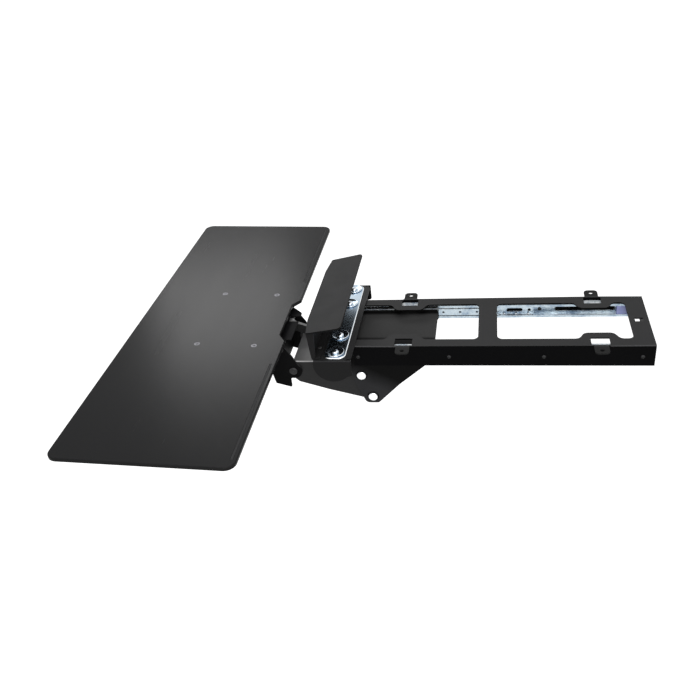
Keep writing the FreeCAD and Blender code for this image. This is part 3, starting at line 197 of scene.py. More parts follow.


# Black coats: powder paint with a fine orange peel and a fleck of dust. Walls and faces that look up take
# separate levels as painted light and shade from above, and rounded upper edges carry a painted highlight
coats = {
    "trackBlack": {"wall": 0.0018, "top": 0.039, "fold": 0.075, "low": 0.42, "high": 0.55, "grain": 2600,
                   "depth": 0.035, "gloss": 0.03},
    "armBlack": {"wall": 0.029, "top": 0.120, "fold": 0.50, "low": 0.40, "high": 0.52, "grain": 2600,
                 "depth": 0.035, "gloss": 0.12},
    "headBlack": {"wall": 0.008, "top": 0.006, "fold": 0.045, "low": 0.40, "high": 0.52, "grain": 2600,
                  "depth": 0.035, "gloss": 0.012},
    "housingBlack": {"wall": 0.012, "top": 0.026, "fold": 0.030, "low": 0.40, "high": 0.52, "grain": 2600,
                     "depth": 0.035, "gloss": 0.08},
    "coverBlack": {"wall": 0.009, "top": 0.019, "fold": 0.023, "low": 0.42, "high": 0.52, "grain": 3800,
                   "depth": 0.020, "gloss": 0.028},
    "rivetBlack": {"wall": 0.028, "top": 0.040, "fold": 0.050, "low": 0.40, "high": 0.52, "grain": 2600,
                   "depth": 0.020, "gloss": 0.08},
    "boltBlack": {"wall": 0.018, "top": 0.030, "fold": 0.05, "low": 0.30, "high": 0.45, "grain": 1500,
                  "depth": 0.020, "gloss": 0.25},
}


paintwork = {"wallDark": 0.85, "wallLight": 1.15, "wallBlue": 0.0006, "topDark": 0.90, "topLight": 1.10,
             "topBlue": 0.0012, "foldBlue": 0.002, "dustStops": ((0.58, 0), (0.80, 1)), "dustShare": 0.08,
             "dustTone": 2.0, "bump": 0.6}
# The track's screw tabs, beyond its side walls
tabs = {"from": 0.0695, "to": 0.0715, "level": 0.020}


def coat(name):
    values = coats[name]
    paint = Paint(name)
    cloud = paint.grain("paintCloud")
    dust = paint.ramp(paint.grain("paintDust"), *paintwork["dustStops"])
    wall = paint.blend(cloud, grey(values["wall"] * paintwork["wallDark"]),
                       grey(values["wall"] * paintwork["wallLight"], paintwork["wallBlue"]))
    top = paint.blend(cloud, grey(values["top"] * paintwork["topDark"]),
                      grey(values["top"] * paintwork["topLight"], paintwork["topBlue"]))
    # painted light: faces that look up get the top level, walls get the wall level
    colour = paint.blend(paint.upward(), wall, top)
    # painted highlight along rounded upper edges
    colour = paint.blend(paint.folds(), colour, grey(values["fold"], paintwork["foldBlue"]))
    if name == "trackBlack":
        # the screw tabs beyond the side walls are painted darker
        out = paint.beyond("X", tabs["from"], tabs["to"])
        colour = paint.blend(out, colour, grey(tabs["level"]))
    colour = paint.blend(dust * paintwork["dustShare"], colour, grey(values["top"] * paintwork["dustTone"]))
    rough = values["low"] + (values["high"] - values["low"]) * paint.grain("paintSheen")
    peel = paint.noise(values["grain"], *grains["peel"][1:])
    return paint.shade(Base_Color=colour, Roughness=rough, Specular_IOR_Level=values["gloss"],
                       Normal=paint.bump(peel, values["depth"], paintwork["bump"]))


# The carriage's paint, with painted shade: dark high up under the track, paler towards its lower front
# corner, along a slant
gusset = {
    "slant": 0.5, "darkAt": -0.1455, "paleAt": -0.1755, "dark": 0.006, "pale": 0.042, "paleBlue": 0.002,
    "ragged": 0.25, "raggedFrom": -0.12, "top": 0.042, "gloss": 0.03, "shade": 0.005,
    "ring": 0.0088, "ringCrisp": 1500.0, "pivots": ("arm_lift", "link_swing"),
    "rimShadeRight": 0.022, "rimShadeLeft": -0.041, "rimShadeCrisp": 160.0,
    "low": 0.42, "spread": 0.12, "depth": 0.035,
}


def gussetFinish():
    paint = Paint("gussetBlack")
    height = paint.part(paint.where(), "Z") + paint.part(paint.where(), "Y") * gusset["slant"]
    reach = (height - gusset["darkAt"]) * (1 / (gusset["paleAt"] - gusset["darkAt"]))
    ragged = paint.grain("shadeEdge") * gusset["ragged"]
    fade = paint.ramp(reach + ragged + gusset["raggedFrom"], (0, 0), (1, 1))
    wall = paint.blend(fade, grey(gusset["dark"]), grey(gusset["pale"], gusset["paleBlue"]))
    for joint in gusset["pivots"]:
        # painted shadow: a dark ring round each axle's head
        flat = paint.add("ShaderNodeVectorMath", {"operation": "MULTIPLY"}, [paint.where(), (0, 1, 1)])
        away = paint.add("ShaderNodeVectorMath", {"operation": "DISTANCE"}, [flat, pivotOf[joint]],
                         out="Value")
        ring = paint.ramp((away - gusset["ring"]) * gusset["ringCrisp"] + 0.5, (0, 1), (1, 0))
        wall = paint.blend(ring, wall, grey(gusset["shade"]))
    # painted shade: the plate's upper faces are dark where the track's rim shades them
    side = paint.part(paint.where(), "X")
    right = paint.ramp((side - gusset["rimShadeRight"]) * gusset["rimShadeCrisp"], (0, 0), (1, 1))
    left = paint.ramp((side - gusset["rimShadeLeft"]) * -gusset["rimShadeCrisp"], (0, 0), (1, 1))
    rimShade = paint.add("ShaderNodeMath", {"operation": "MAXIMUM"}, [right, left])
    top = paint.blend(rimShade, grey(gusset["top"]), grey(gusset["shade"]))
    colour = paint.blend(paint.upward(), wall, top)
    rough = gusset["low"] + paint.grain("paintSheen") * gusset["spread"]
    return paint.shade(Base_Color=colour, Roughness=rough, Specular_IOR_Level=gusset["gloss"],
                       Normal=paint.bump(paint.grain("peel"), gusset["depth"], paintwork["bump"]))


boardLook = {"dark": 0.015, "light": 0.018, "lightBlue": 0.001, "edge": 0.018, "rough": 0.235, "wiped": 0.06,
             "gloss": 0.04, "pebble": 1500.0, "pore": 0.4, "depth": 0.030, "bump": 0.55,
             "fleckStops": ((0.55, 0), (0.85, 1)), "fleckShare": 0.10, "fleck": 0.06}


def boardFinish():
    # fine matt laminate: a pebbled film, wiped in long faint streaks across the board
    paint = Paint("boardLaminate")
    pebble = paint.add("ShaderNodeTexVoronoi", {"feature": "SMOOTH_F1"}, {
        "Vector": paint.where(), "Scale": boardLook["pebble"]})
    top = paint.blend(paint.grain("boardCloud"), grey(boardLook["dark"]),
                      grey(boardLook["light"], boardLook["lightBlue"]))
    colour = paint.blend(paint.upward(), grey(boardLook["edge"]), top)
    fleck = paint.ramp(paint.grain("boardFleck"), *boardLook["fleckStops"])
    colour = paint.blend(fleck * boardLook["fleckShare"], colour, grey(boardLook["fleck"]))
    skin = pebble + paint.grain("boardPore") * boardLook["pore"]
    return paint.shade(Base_Color=colour,
                       Roughness=boardLook["rough"] + paint.grain("boardWipe") * boardLook["wiped"],
                       Specular_IOR_Level=boardLook["gloss"],
                       Normal=paint.bump(skin, boardLook["depth"], boardLook["bump"]))


# Zinc and steel: colour of the metal, of its clouded patches, of its rounded upper edges (a painted
# highlight) and of faces that look up (on the slide rails a painted highlight)
metals = {
    "brightZinc": {"clean": (0.66, 0.70, 0.74), "cloud": (0.44, 0.50, 0.58), "fold": (0.80, 0.84, 0.88),
                   "top": (0.66, 0.70, 0.74), "low": 0.16, "high": 0.34, "stain": 0.7, "gloss": 0.5},
    "lockZinc": {"clean": (0.56, 0.66, 0.76), "cloud": (0.34, 0.44, 0.56), "fold": (0.97, 0.99, 1.0),
                 "top": (0.46, 0.55, 0.63), "low": 0.18, "high": 0.30, "stain": 0.5, "gloss": 0.5},
    "headZinc": {"clean": (0.94, 0.95, 0.96), "cloud": (0.76, 0.77, 0.78), "fold": (0.96, 0.97, 0.98),
                 "top": (0.94, 0.95, 0.96), "low": 0.28, "high": 0.42, "stain": 0.35, "gloss": 0.5},
    "slideZinc": {"clean": (0.48, 0.56, 0.61), "cloud": (0.20, 0.28, 0.38), "fold": (0.84, 0.90, 0.94),
                  "top": (0.92, 0.96, 0.98), "low": 0.24, "high": 0.44, "stain": 0.9, "gloss": 0.2},
    "screwSteel": {"clean": (0.15, 0.15, 0.16), "cloud": (0.08, 0.08, 0.09), "fold": (0.20, 0.20, 0.21),
                   "top": (0.12, 0.12, 0.13), "low": 0.40, "high": 0.55, "stain": 0.5, "gloss": 0.5},
}
zincwork = {"mottled": 0.7, "mottleStops": ((0.40, 0), (0.68, 1)), "spangle": 330.0, "spangled": 0.5,
            "depth": 0.012, "bump": 0.5}
# Painted shade on the front of the slide rails, and how far their upward faces lose their metal
railShade = {"from": -0.0955, "to": -0.0925, "level": 0.010, "topDulled": 0.75}


def zincFinish(name):
    # rolling lines along Y, a fine spangle and cloudy passivation
    values = metals[name]
    paint = Paint(name)
    cloud = paint.grain("zincCloud")
    mottled = cloud + (paint.grain("zincMottle") - 0.5) * zincwork["mottled"]
    mottle = paint.ramp(mottled, *zincwork["mottleStops"])
    spangle = paint.add("ShaderNodeTexVoronoi", None, {"Vector": paint.where(), "Scale": zincwork["spangle"]})
    # faces that look up take the top colour, on the slide rails a painted highlight
    colour = paint.blend(paint.upward(), values["clean"] + (1,), values["top"] + (1,))
    colour = paint.blend(mottle * values["stain"], colour, values["cloud"] + (1,))
    # painted highlight along rounded upper edges
    colour = paint.blend(paint.folds(), colour, values["fold"] + (1,))
    rough = values["low"] + (values["high"] - values["low"]) * cloud
    metal = 1.0
    if name == "slideZinc":
        # painted shade: the front of the rails is painted near black where it lies in shade, save their upper
        # faces
        reach = paint.part(paint.where(), "Y") - railShade["from"]
        pastRailShade = paint.ramp(reach * (1 / (railShade["to"] - railShade["from"])), (0, 0), (1, 1))
        outOfRailShade = paint.add("ShaderNodeMath", {"operation": "MAXIMUM"}, [pastRailShade, paint.upward()])
        colour = paint.blend(outOfRailShade, grey(railShade["level"]), colour)
        # upward faces are made less metallic so that their painted highlight colour shows
        metal = outOfRailShade - paint.upward() * railShade["topDulled"]
    skin = paint.grain("zincLines") + spangle * zincwork["spangled"]
    return paint.shade(Base_Color=colour, Roughness=rough, Metallic=metal, Specular_IOR_Level=values["gloss"],
                       Normal=paint.bump(skin, zincwork["depth"], zincwork["bump"]))


plastics = {
    "violetStop": {"light": (0.44, 0.50, 0.84), "deep": (0.30, 0.33, 0.66), "rough": 0.30, "gloss": 0.5},
    "naturalNylon": {"light": (0.72, 0.71, 0.66), "deep": (0.66, 0.65, 0.60), "rough": 0.42, "gloss": 0.4},
    "mattRubber": {"light": (0.028, 0.028, 0.029), "deep": (0.022, 0.022, 0.023), "rough": 0.65,
                   "gloss": 0.15},
}
moulding = {"spread": 0.12, "depth": 0.02, "bump": 0.5}


def plasticFinish(name):
    values = plastics[name]
    paint = Paint(name)
    mix = paint.blend(paint.grain("plasticCloud"), values["light"] + (1,), values["deep"] + (1,))
    return paint.shade(Base_Color=mix,
                       Roughness=values["rough"] + paint.grain("plasticSheen") * moulding["spread"],
                       Specular_IOR_Level=values["gloss"],
                       Normal=paint.bump(paint.grain("plasticSkin"), moulding["depth"], moulding["bump"]))


finishes = {"gussetBlack": gussetFinish(), "boardLaminate": boardFinish()}
finishes.update((name, coat(name)) for name in coats)
finishes.update((name, zincFinish(name)) for name in metals)
finishes.update((name, plasticFinish(name)) for name in plastics)
print("finishes are mixed")


# How meshes are made: merging distances, then in degrees the bend of a seam in a flat face, of an edge
# that shades sharp and of a corner to round
making = {"merge": 0.002, "mergeTurned": 0.001, "flat": 0.4, "sharp": 34, "corner": 25}


def finished(mesh, name, finish, node, sharp=making["sharp"]):
    # a bmesh becomes a piece that rides where its node does and stands for it
    data = bpy.data.meshes.new(name)
    mesh.to_mesh(data)
    mesh.free()
    data.materials.append(finishes[finish])
    for face in data.polygons:
        face.use_smooth = True
    data.set_sharp_from_angle(angle=math.radians(sharp))
    piece = bpy.data.objects.new(name, data)
    scene.collection.objects.link(piece)
    even = piece.modifiers.new("evenShading", "WEIGHTED_NORMAL")
    even.keep_sharp = True
    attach(piece, bodyOf[node])
    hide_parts(node)
    return piece


def copyOf(node):
    # the CAD node's mesh, merged, with the seams inside its flat faces taken out
    mesh = bmesh.new()
    mesh.from_mesh(frame["nodes"][node].data)
    bmesh.ops.remove_doubles(mesh, verts=mesh.verts, dist=making["merge"] * mm)
    bmesh.ops.dissolve_limit(mesh, angle_limit=math.radians(making["flat"]), verts=mesh.verts,
                             edges=mesh.edges)
    bmesh.ops.recalc_face_normals(mesh, faces=mesh.faces)
    return mesh


def middlesOf(node):
    # the middle of the box of each separate solid of a CAD node, in mm
    mesh = bmesh.new()
    mesh.from_mesh(frame["nodes"][node].data)
    bmesh.ops.remove_doubles(mesh, verts=mesh.verts, dist=making["merge"] * mm)
    waiting = set(mesh.verts)
    found = []
    while waiting:
        front = [waiting.pop()]
        points = []
        while front:
            vertex = front.pop()
            points.append(vertex.co / mm)
            reached = {edge.other_vert(vertex) for edge in vertex.link_edges} & waiting
            waiting -= reached
            front.extend(reached)
        low = Vector(min(point[axis] for point in points) for axis in range(3))
        high = Vector(max(point[axis] for point in points) for axis in range(3))
        found.append((low + high) / 2)
    mesh.free()
    return found


def near(value, target, gap=0.06):
    return abs(value - target) < gap


def roundOver(mesh, width, segments, wanted=None, corner=making["corner"], clamp=True):
    # bevels the sharp edges, or the ones that wanted(middle, direction) picks
    edges = []
    for edge in mesh.edges:
        if len(edge.link_faces) != 2 or edge.calc_face_angle() < math.radians(corner):
            continue
        start, end = (vertex.co / mm for vertex in edge.verts)
        if wanted is None or wanted((start + end) / 2, (end - start).normalized()):
            edges.append(edge)
    bmesh.ops.bevel(mesh, geom=edges, offset=width * mm, offset_type="OFFSET", segments=segments,
                    profile=0.5, affect="EDGES", clamp_overlap=clamp, material=-1)


# Formed pieces: their folds, at (x, z) along Y, get a bend radius, and other edges a fine break.
# A loose fold's bend isn't held back by short edges beside it; a stretch moves what lies behind its start.
along = 0.9
sheets = {
    "track_frame": {"finish": "trackBlack", "break": 0.30, "bend": 2.2, "fold": (68.7, 0)},
    "carriage_bracket": {"finish": "gussetBlack", "break": 0.35, "bend": 3.0, "fold": (54, -13)},
    "arm_channel": {"finish": "armBlack", "break": 0.0, "bend": 2.2, "fold": (50.5, -38), "loose": True},
    "housing_riser": {"finish": "housingBlack", "break": 0.30, "bend": 1.8, "fold": (32, None)},
    "housing_base": {"finish": "housingBlack", "break": 0.35, "bend": 1.8, "fold": (112, 3.2),
                     "stretchFrom": -213, "stretch": 4.5},
    "front_shell": {"finish": "housingBlack", "break": 0.35},
    "levelling_link": {"finish": "armBlack", "break": 0.45},
    "head_yoke": {"finish": "headBlack", "break": 0.40},
    "tilt_bracket": {"finish": "headBlack", "break": 0.35},
    "outer_slide_rails": {"finish": "slideZinc", "break": 0.20, "bend": 1.1, "fold": (66.7, None)},
    "inner_slide_rails": {"finish": "slideZinc", "break": 0.20, "bend": 1.0, "fold": (54, None)},
    "slide_end_stops": {"finish": "violetStop", "break": 0.80},
    "tilt_spacer": {"finish": "brightZinc", "break": 0.30},
    "arm_bushes": {"finish": "naturalNylon", "break": 0.25},
    "pivot_washers": {"finish": "trackBlack", "break": 0.20},
    "rear_strips": {"finish": "mattRubber", "break": 0.20},
    "ball_cages": {"finish": "slideZinc", "break": 0.12},
}
for node, values in sheets.items():
    mesh = copyOf(node)
    for vertex in mesh.verts:
        if vertex.co.y / mm > values.get("stretchFrom", math.inf):
            vertex.co.y += values["stretch"] * mm
    if "fold" in values:
        foldX, foldZ = values["fold"]
        roundOver(mesh, values["bend"], 4, lambda at, way: near(abs(at.x), foldX) and abs(way.y) > along
                  and (foldZ is None or near(at.z, foldZ)), clamp="loose" not in values)
    if values["break"]:
        roundOver(mesh, values["break"], 2)
    finished(mesh, node + "_formed", values["finish"], node)
print("sheet pieces are formed")


# Lock plate: bright mirror-like zinc with a rolled upper rim
lockPlate = {"rim": 1.8, "top": 5.2, "under": 0.3, "underFrom": 1, "roundBolts": 8, "sharp": 50}
mesh = copyOf("lock_plate")
bolts = middlesOf("clamp_bolts")
roundOver(mesh, lockPlate["rim"], 6, lambda at, way: near(at.z, lockPlate["top"])
          and all((at - middle).xy.length > lockPlate["roundBolts"] for middle in bolts))
roundOver(mesh, lockPlate["under"], 2, lambda at, way: at.z < lockPlate["top"] - lockPlate["underFrom"])
finished(mesh, "lock_plate_rimmed", "lockZinc", "lock_plate", lockPlate["sharp"])


# Tray board: rolled top edge round its outline and its notch, finer lower edge.
# Holes and the two grooves at the rear keep crisp edges.
board = {
    "topRound": 1.6, "underRound": 0.6, "steep": 60, "crisp": 50, "level": 0.9,
    "insideX": 330, "insideFront": -540, "insideRear": -326,
    "grooveFromX": 110, "grooveToX": 335, "grooveFront": -322.5, "rearEdge": -313, "rearGap": 1.2,
}


def makeBoard():
    mesh = copyOf("tray_board")
    outer = []
    for edge in mesh.edges:
        if len(edge.link_faces) == 2 and edge.calc_face_angle() > math.radians(board["steep"]):
            high = max(face.normal.z for face in edge.link_faces)
            middle = sum((vertex.co for vertex in edge.verts), Vector()) / 2 / mm
            inside = (abs(middle.x) < board["insideX"]
                      and board["insideFront"] < middle.y < board["insideRear"])
            groove = (board["grooveFromX"] < abs(middle.x) < board["grooveToX"]
                      and middle.y > board["grooveFront"]
                      and not near(middle.y, board["rearEdge"], board["rearGap"]))
            if high > board["level"] and not inside and not groove:
                outer.append(edge)
    bmesh.ops.bevel(mesh, geom=outer, offset=board["topRound"] * mm, offset_type="OFFSET", segments=5,
                    profile=0.5, affect="EDGES", clamp_overlap=True, material=-1)
    roundOver(mesh, board["underRound"], 2, lambda at, way: abs(way.z) < board["level"], board["crisp"])
    finished(mesh, "tray_board_rolled", "boardLaminate", "tray_board")


makeBoard()


# Cover: soft moulded edges
cover = {"round": 1.0}
mesh = copyOf("cover_plate")
roundOver(mesh, cover["round"], 4)
finished(mesh, "cover_cap", "coverBlack", "cover_plate")
print("board and cover are made")


def turned(profile, steps=36):
    # a solid of revolution about Z from (radius, height) points
    mesh = bmesh.new()
    points = [mesh.verts.new((radius * mm, 0, height * mm)) for radius, height in profile]
    lines = [mesh.edges.new(ends) for ends in zip(points, points[1:])]
    bmesh.ops.spin(mesh, geom=points + lines, cent=(0, 0, 0), axis=(0, 0, 1), angle=math.tau,
                   steps=steps, use_merge=True)
    bmesh.ops.remove_doubles(mesh, verts=mesh.verts, dist=making["mergeTurned"] * mm)
    bmesh.ops.recalc_face_normals(mesh, faces=mesh.faces)
    return mesh


def ring(profile, steps):
    # a ring of revolution about Z from a closed loop of (radius, height) points
    return turned(list(profile) + [profile[0]], steps)


def hexagon(width, height, chamfer):
    # a hexagonal prism that stands at z = 0, chamfered round its top
    mesh = bmesh.new()
    reach = width / math.sqrt(3) * mm
    bmesh.ops.create_cone(mesh, cap_ends=True, segments=6, radius1=reach, radius2=reach, depth=height * mm,
                          matrix=Matrix.Translation((0, 0, height / 2 * mm)))
    rim = [edge for edge in mesh.edges if all(near(vertex.co.z / mm, height) for vertex in edge.verts)]
    bmesh.ops.bevel(mesh, geom=rim, offset=chamfer * mm, offset_type="OFFSET", segments=2, profile=0.5,
                    affect="EDGES", clamp_overlap=True, material=-1)
    return mesh


def facing(x, y, z, way="up", tilt=0.0):
    # a place for a part that was made upright at the origin
    turns = {
        "up": Matrix.Identity(4),
        "down": Matrix.Rotation(math.pi, 4, "X"),
        "right": Matrix.Rotation(math.pi / 2, 4, "Y"),
        "left": Matrix.Rotation(-math.pi / 2, 4, "Y"),
    }
    lean = Matrix.Rotation(math.radians(tilt), 4, "X")
    return Matrix.Translation(Vector((x, y, z)) * mm) @ lean @ turns[way]


def setOut(placed):
    # one mesh from (bmesh, [places]) pairs
    whole = bmesh.new()
    for part, places in placed:
        data = bpy.data.meshes.new("part")
        part.to_mesh(data)
        part.free()
        for place in places:
            copy = data.copy()
            copy.transform(place)
            whole.from_mesh(copy)
            bpy.data.meshes.remove(copy)
        bpy.data.meshes.remove(data)
    return whole


def domed(head, dome, shank, length):
    # rivet end: a domed head at z = 0 upwards and its shank below
    return [(0, dome), (head * 0.22, dome * 0.97), (head * 0.36, dome * 0.78), (head * 0.46, dome * 0.46),
            (head * 0.5, dome * 0.12), (head * 0.5, 0), (shank / 2, 0), (shank / 2, -length), (0, -length)]


# Rivets: where each head sits comes from its CAD solid
rivets = {"head": 5.6, "inner": 5.2, "crimp": 5.6, "dome": 1.55, "shank": 4.0, "innerShank": 3.2,
          "wall": 68.7, "web": 65.2, "railWeb": 55.5, "foot": -36.0, "base": 5.2,
          "wallLength": 3, "crimpLength": 1, "innerLength": 3.9, "footLength": 5.5, "baseLength": 4}


def sideways(middles, reach, outward=True):
    # places on the two side walls, where heads look outward or inward
    ways = ("right", "left") if outward else ("left", "right")
    return [facing(math.copysign(reach, middle.x), middle.y, middle.z, ways[middle.x < 0])
            for middle in middles]


wallRivets = middlesOf("slide_rivets")
mesh = setOut([
    (turned(domed(rivets["head"], rivets["dome"], rivets["shank"], rivets["wallLength"])),
     sideways(wallRivets, rivets["wall"])),
    (turned(domed(rivets["crimp"], rivets["dome"], rivets["shank"], rivets["crimpLength"])),
     sideways(wallRivets, rivets["web"], outward=False)),
])
finished(mesh, "slide_rivet_heads", "rivetBlack", "slide_rivets")
mesh = setOut([(turned(domed(rivets["inner"], rivets["dome"], rivets["innerShank"], rivets["innerLength"])),
                sideways(middlesOf("inner_rail_rivets"), rivets["railWeb"]))])
finished(mesh, "inner_rivet_heads", "screwSteel", "inner_rail_rivets")
for node, seat in (("riser_rivets", "foot"), ("shell_rivets", "base")):
    mesh = setOut([(turned(domed(rivets["head"], rivets["dome"], rivets["shank"], rivets[seat + "Length"])),
                    [facing(middle.x, middle.y, rivets[seat]) for middle in middlesOf(node)])])
    finished(mesh, node + "_domed", "boltBlack", node)


# Axles: riveted heads, dimpled in the middle, with a rolled edge
axles = {
    "arm_pivot_axle": {"shank": 8.0, "head": 13.8, "reach": 55.0, "finish": "headZinc"},
    "link_pivot_axle": {"shank": 8.0, "head": 13.8, "reach": 55.0, "finish": "headZinc"},
    "front_arm_axle": {"shank": 8.0, "head": 12.5, "reach": 53.5, "finish": "boltBlack"},
    "levelling_axle": {"shank": 6.0, "head": 9.4, "reach": 53.5, "finish": "boltBlack"},
}
for node, values in axles.items():
    middle = middlesOf(node)[0]
    outer = values["head"] / 2
    half = [(0, 1.95), (0.5, 2.0), (0.9, 2.3), (outer * 0.62, 2.38), (outer * 0.86, 2.05),
            (outer * 0.97, 1.5), (outer, 0.9), (outer, 0.3), (outer * 0.97, 0), (values["shank"] / 2, 0),
            (values["shank"] / 2, -values["reach"]), (0, -values["reach"])]
    mesh = setOut([(turned(half, 40), [facing(values["reach"], middle.y, middle.z, "right"),
                                       facing(-values["reach"], middle.y, middle.z, "left")])])
    finished(mesh, node + "_headed", values["finish"], node)


# Clamp washers, dished like cups, and the bolts that sit in them
clamps = {
    "seat": lockPlate["top"],
    "dish": ((3.3, 0.0), (11.6, 0.0), (12.7, 0.5), (13.0, 1.2), (12.9, 1.8), (12.4, 2.16), (11.8, 2.1),
             (10.8, 1.75), (9.2, 1.2), (7.4, 0.85), (6.0, 0.75), (3.3, 0.72)),
    "button": ((0, 3.9), (1.6, 3.85), (3.0, 3.5), (4.1, 2.8), (4.8, 1.9), (5.0, 1.1), (5.0, 0.75),
               (3.0, 0.75), (3.0, -4), (0, -4)),
    "dishSharp": 60, "buttonSharp": 50,
}
spots = [facing(middle.x, middle.y, clamps["seat"]) for middle in bolts]
finished(setOut([(ring(clamps["dish"], 64), spots)]), "clamp_dishes", "lockZinc", "clamp_washers",
         clamps["dishSharp"])
finished(setOut([(turned(clamps["button"], 40), spots)]), "clamp_button_bolts", "brightZinc", "clamp_bolts",
         clamps["buttonSharp"])


# Tilt bolt and nut
tilt = {"reach": 53.5, "width": 13, "head": 5.2, "nut": 6, "chamfer": 0.9, "shank": 8, "end": 7, "point": 0.7}
middle = middlesOf("tilt_nut")[0]
boltEnd = facing(-tilt["reach"], middle.y, middle.z, "left")
nutEnd = facing(tilt["reach"], middle.y, middle.z, "right")
thread = tilt["shank"] / 2
rod = [(0, tilt["end"]), (thread - tilt["point"], tilt["end"]), (thread, tilt["end"] - tilt["point"]),
       (thread, -2 * tilt["reach"]), (0, -2 * tilt["reach"])]
mesh = setOut([(hexagon(tilt["width"], tilt["head"], tilt["chamfer"]), [boltEnd]),
               (turned(rod, 32), [nutEnd])])
finished(mesh, "tilt_hex_bolt", "boltBlack", "tilt_bolt")
mesh = setOut([(hexagon(tilt["width"], tilt["nut"], tilt["chamfer"]), [nutEnd])])
finished(mesh, "tilt_hex_nut", "boltBlack", "tilt_nut")


# Riser screws: heads below, shanks up into the base
riser = {"seat": -0.8, "width": 7, "head": 2.8, "chamfer": 0.5, "shank": 4, "length": 4}
upright = [facing(middle.x, middle.y, riser["seat"]) for middle in middlesOf("riser_screws")]
hung = [place @ Matrix.Rotation(math.pi, 4, "X") for place in upright]
pin = [(0, riser["length"]), (riser["shank"] / 2, riser["length"]), (riser["shank"] / 2, 0), (0, 0)]
mesh = setOut([(hexagon(riser["width"], riser["head"], riser["chamfer"]), hung),
               (turned(pin, 20), upright)])
finished(mesh, "riser_hex_screws", "brightZinc", "riser_screws")


# Flush tray screws with a socket, and the nuts under the tray
trayScrews = {"head": 9.0, "sink": 2.2, "shank": 5.0, "length": 13.0, "cross": 76.0, "rows": (43.6, 131.5),
              "nut": 8, "nutHeight": 4, "nutChamfer": 0.6, "nutDepth": 7.5}
tray = {"slope": 2.3, "rearY": -313, "rearZ": 5.3}


def onTray(ahead, rise):
    # the (y, z) of a spot so far ahead of the board's rear edge and so far above its top face
    lean = math.radians(tray["slope"])
    return (tray["rearY"] - ahead * math.cos(lean) + rise * math.sin(lean),
            tray["rearZ"] + ahead * math.sin(lean) + rise * math.cos(lean))


def atScrews(rise, way):
    return [facing(side * trayScrews["cross"], *onTray(ahead, rise), way, -tray["slope"])
            for side in (-1, 1) for ahead in trayScrews["rows"]]


def trayScrew():
    head = trayScrews["head"] / 2
    shank = trayScrews["shank"] / 2
    profile = [(0, -1.5), (1.5, -1.4), (1.9, -0.3), (2.3, -0.05), (head * 0.9, -0.02), (head, -0.15),
               (shank, -trayScrews["sink"]), (shank, -trayScrews["length"]), (0, -trayScrews["length"])]
    return turned(profile, 40)


finished(setOut([(trayScrew(), atScrews(0, "up"))]), "tray_sunk_screws", "screwSteel", "tray_screws")
nut = hexagon(trayScrews["nut"], trayScrews["nutHeight"], trayScrews["nutChamfer"])
mesh = setOut([(nut, atScrews(-trayScrews["nutDepth"], "down"))])
finished(mesh, "tray_hex_nuts", "brightZinc", "tray_nuts")


# Balls and the cover's screws keep their CAD shapes
for node, finish in (("cage_balls", "brightZinc"), ("cover_screws", "boltBlack")):
    data = frame["nodes"][node].data
    data.materials.clear()
    data.materials.append(finishes[finish])
print("small parts are made")


# Floor, lamps and world
studio = {
    "floorZ": -0.72, "floorSize": 24.0, "floorPale": 0.72, "floorSpread": 0.02, "floorRough": 0.8,
    "floorGloss": 0.1,
    "nearGlow": 0.80, "farGlow": 1.0, "nearRadius": 0.4, "farRadius": 1.6, "middle": (-0.1, -0.25),
    "lamps": (
        # name, place, aimed at, size, power
        ("overheadLamp", (0.25, -0.20, 1.30), (0.0, -0.20, 0), (1.5, 1.6), 14),
        ("rearLamp", (-1.30, -0.88, 0.86), (0, -0.42, 0), (0.50, 0.42), 6.5),
        ("sideLamp", (1.35, 0.10, 0.62), (0, -0.10, 0), (0.8, 0.6), 10),
    ),
    "fill": 0.10,
}


def raysThatSee(paint):
    # 1 for rays from the camera, off gloss and through glass, which see the white background
    camRay = paint.add("ShaderNodeLightPath", out="Is Camera Ray")
    glossRay = paint.add("ShaderNodeLightPath", out="Is Glossy Ray")
    clearRay = paint.add("ShaderNodeLightPath", out="Is Transmission Ray")
    return paint.add("ShaderNodeMath", {"operation": "ADD", "use_clamp": True}, [camRay + glossRay, clearRay])


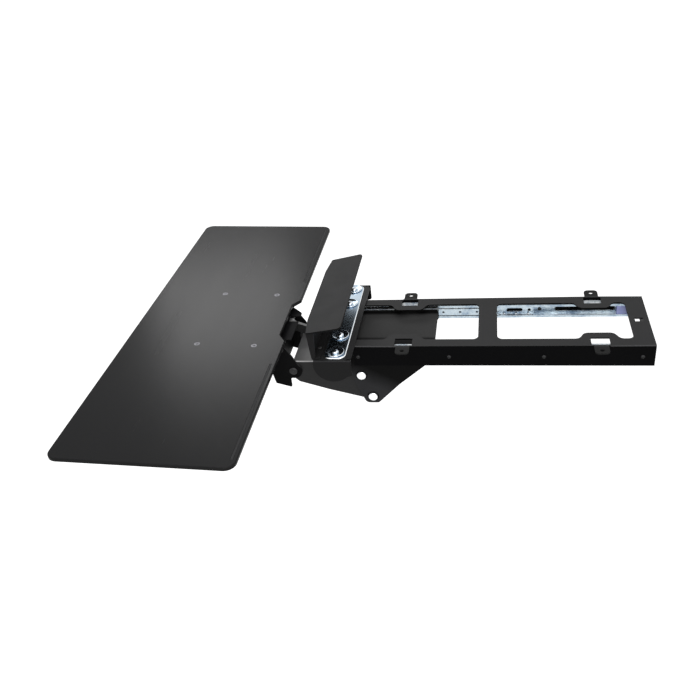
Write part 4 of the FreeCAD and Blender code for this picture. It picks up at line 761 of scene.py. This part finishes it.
def makeFloor():
    paint = Paint("paleFloor")
    pale = studio["floorPale"]
    body = paint.add("ShaderNodeBsdfPrincipled", None, {
        "Base Color": paint.blend(paint.grain("floorCloud"), grey(pale * (1 - studio["floorSpread"])),
                                  grey(pale * (1 + studio["floorSpread"]))),
        "Roughness": studio["floorRough"], "Specular IOR Level": studio["floorGloss"]})
    distance = paint.add("ShaderNodeVectorMath", {"operation": "DISTANCE"},
                         [paint.where(), studio["middle"] + (studio["floorZ"],)], out="Value")
    spread = (distance - studio["nearRadius"]) * (1 / (studio["farRadius"] - studio["nearRadius"]))
    glow = studio["nearGlow"] + (studio["farGlow"] - studio["nearGlow"]) * paint.ramp(spread, (0, 0), (1, 1))
    light = paint.add("ShaderNodeEmission", None, {"Color": grey(1), "Strength": raysThatSee(paint) * glow})
    both = paint.add("ShaderNodeAddShader", None, [body, light])
    paint.add("ShaderNodeOutputMaterial", None, {"Surface": both})
    mesh = bmesh.new()
    bmesh.ops.create_grid(mesh, x_segments=1, y_segments=1, size=studio["floorSize"] / 2,
                          matrix=Matrix.Translation((0, 0, studio["floorZ"])))
    data = bpy.data.meshes.new("floor")
    mesh.to_mesh(data)
    mesh.free()
    data.materials.append(paint.material)
    floor = bpy.data.objects.new("floor", data)
    scene.collection.objects.link(floor)


makeFloor()
for name, place, target, size, power in studio["lamps"]:
    light = bpy.data.lights.new(name, "AREA")
    light.shape = "RECTANGLE"
    light.size, light.size_y = size
    light.energy = power
    lamp = bpy.data.objects.new(name, light)
    lamp.location = place
    lamp.rotation_euler = (Vector(place) - Vector(target)).to_track_quat("Z", "Y").to_euler()
    scene.collection.objects.link(lamp)

world = bpy.data.worlds.new("studio")
world.use_nodes = True
scene.world = world
air = Paint("studio", world.node_tree)
strength = studio["fill"] + (1 - studio["fill"]) * raysThatSee(air)
sky = air.add("ShaderNodeBackground", None, {"Color": grey(1), "Strength": strength})
air.add("ShaderNodeOutputWorld", None, {"Surface": sky})
scene.view_settings.view_transform = "Standard"
print("studio is lit")
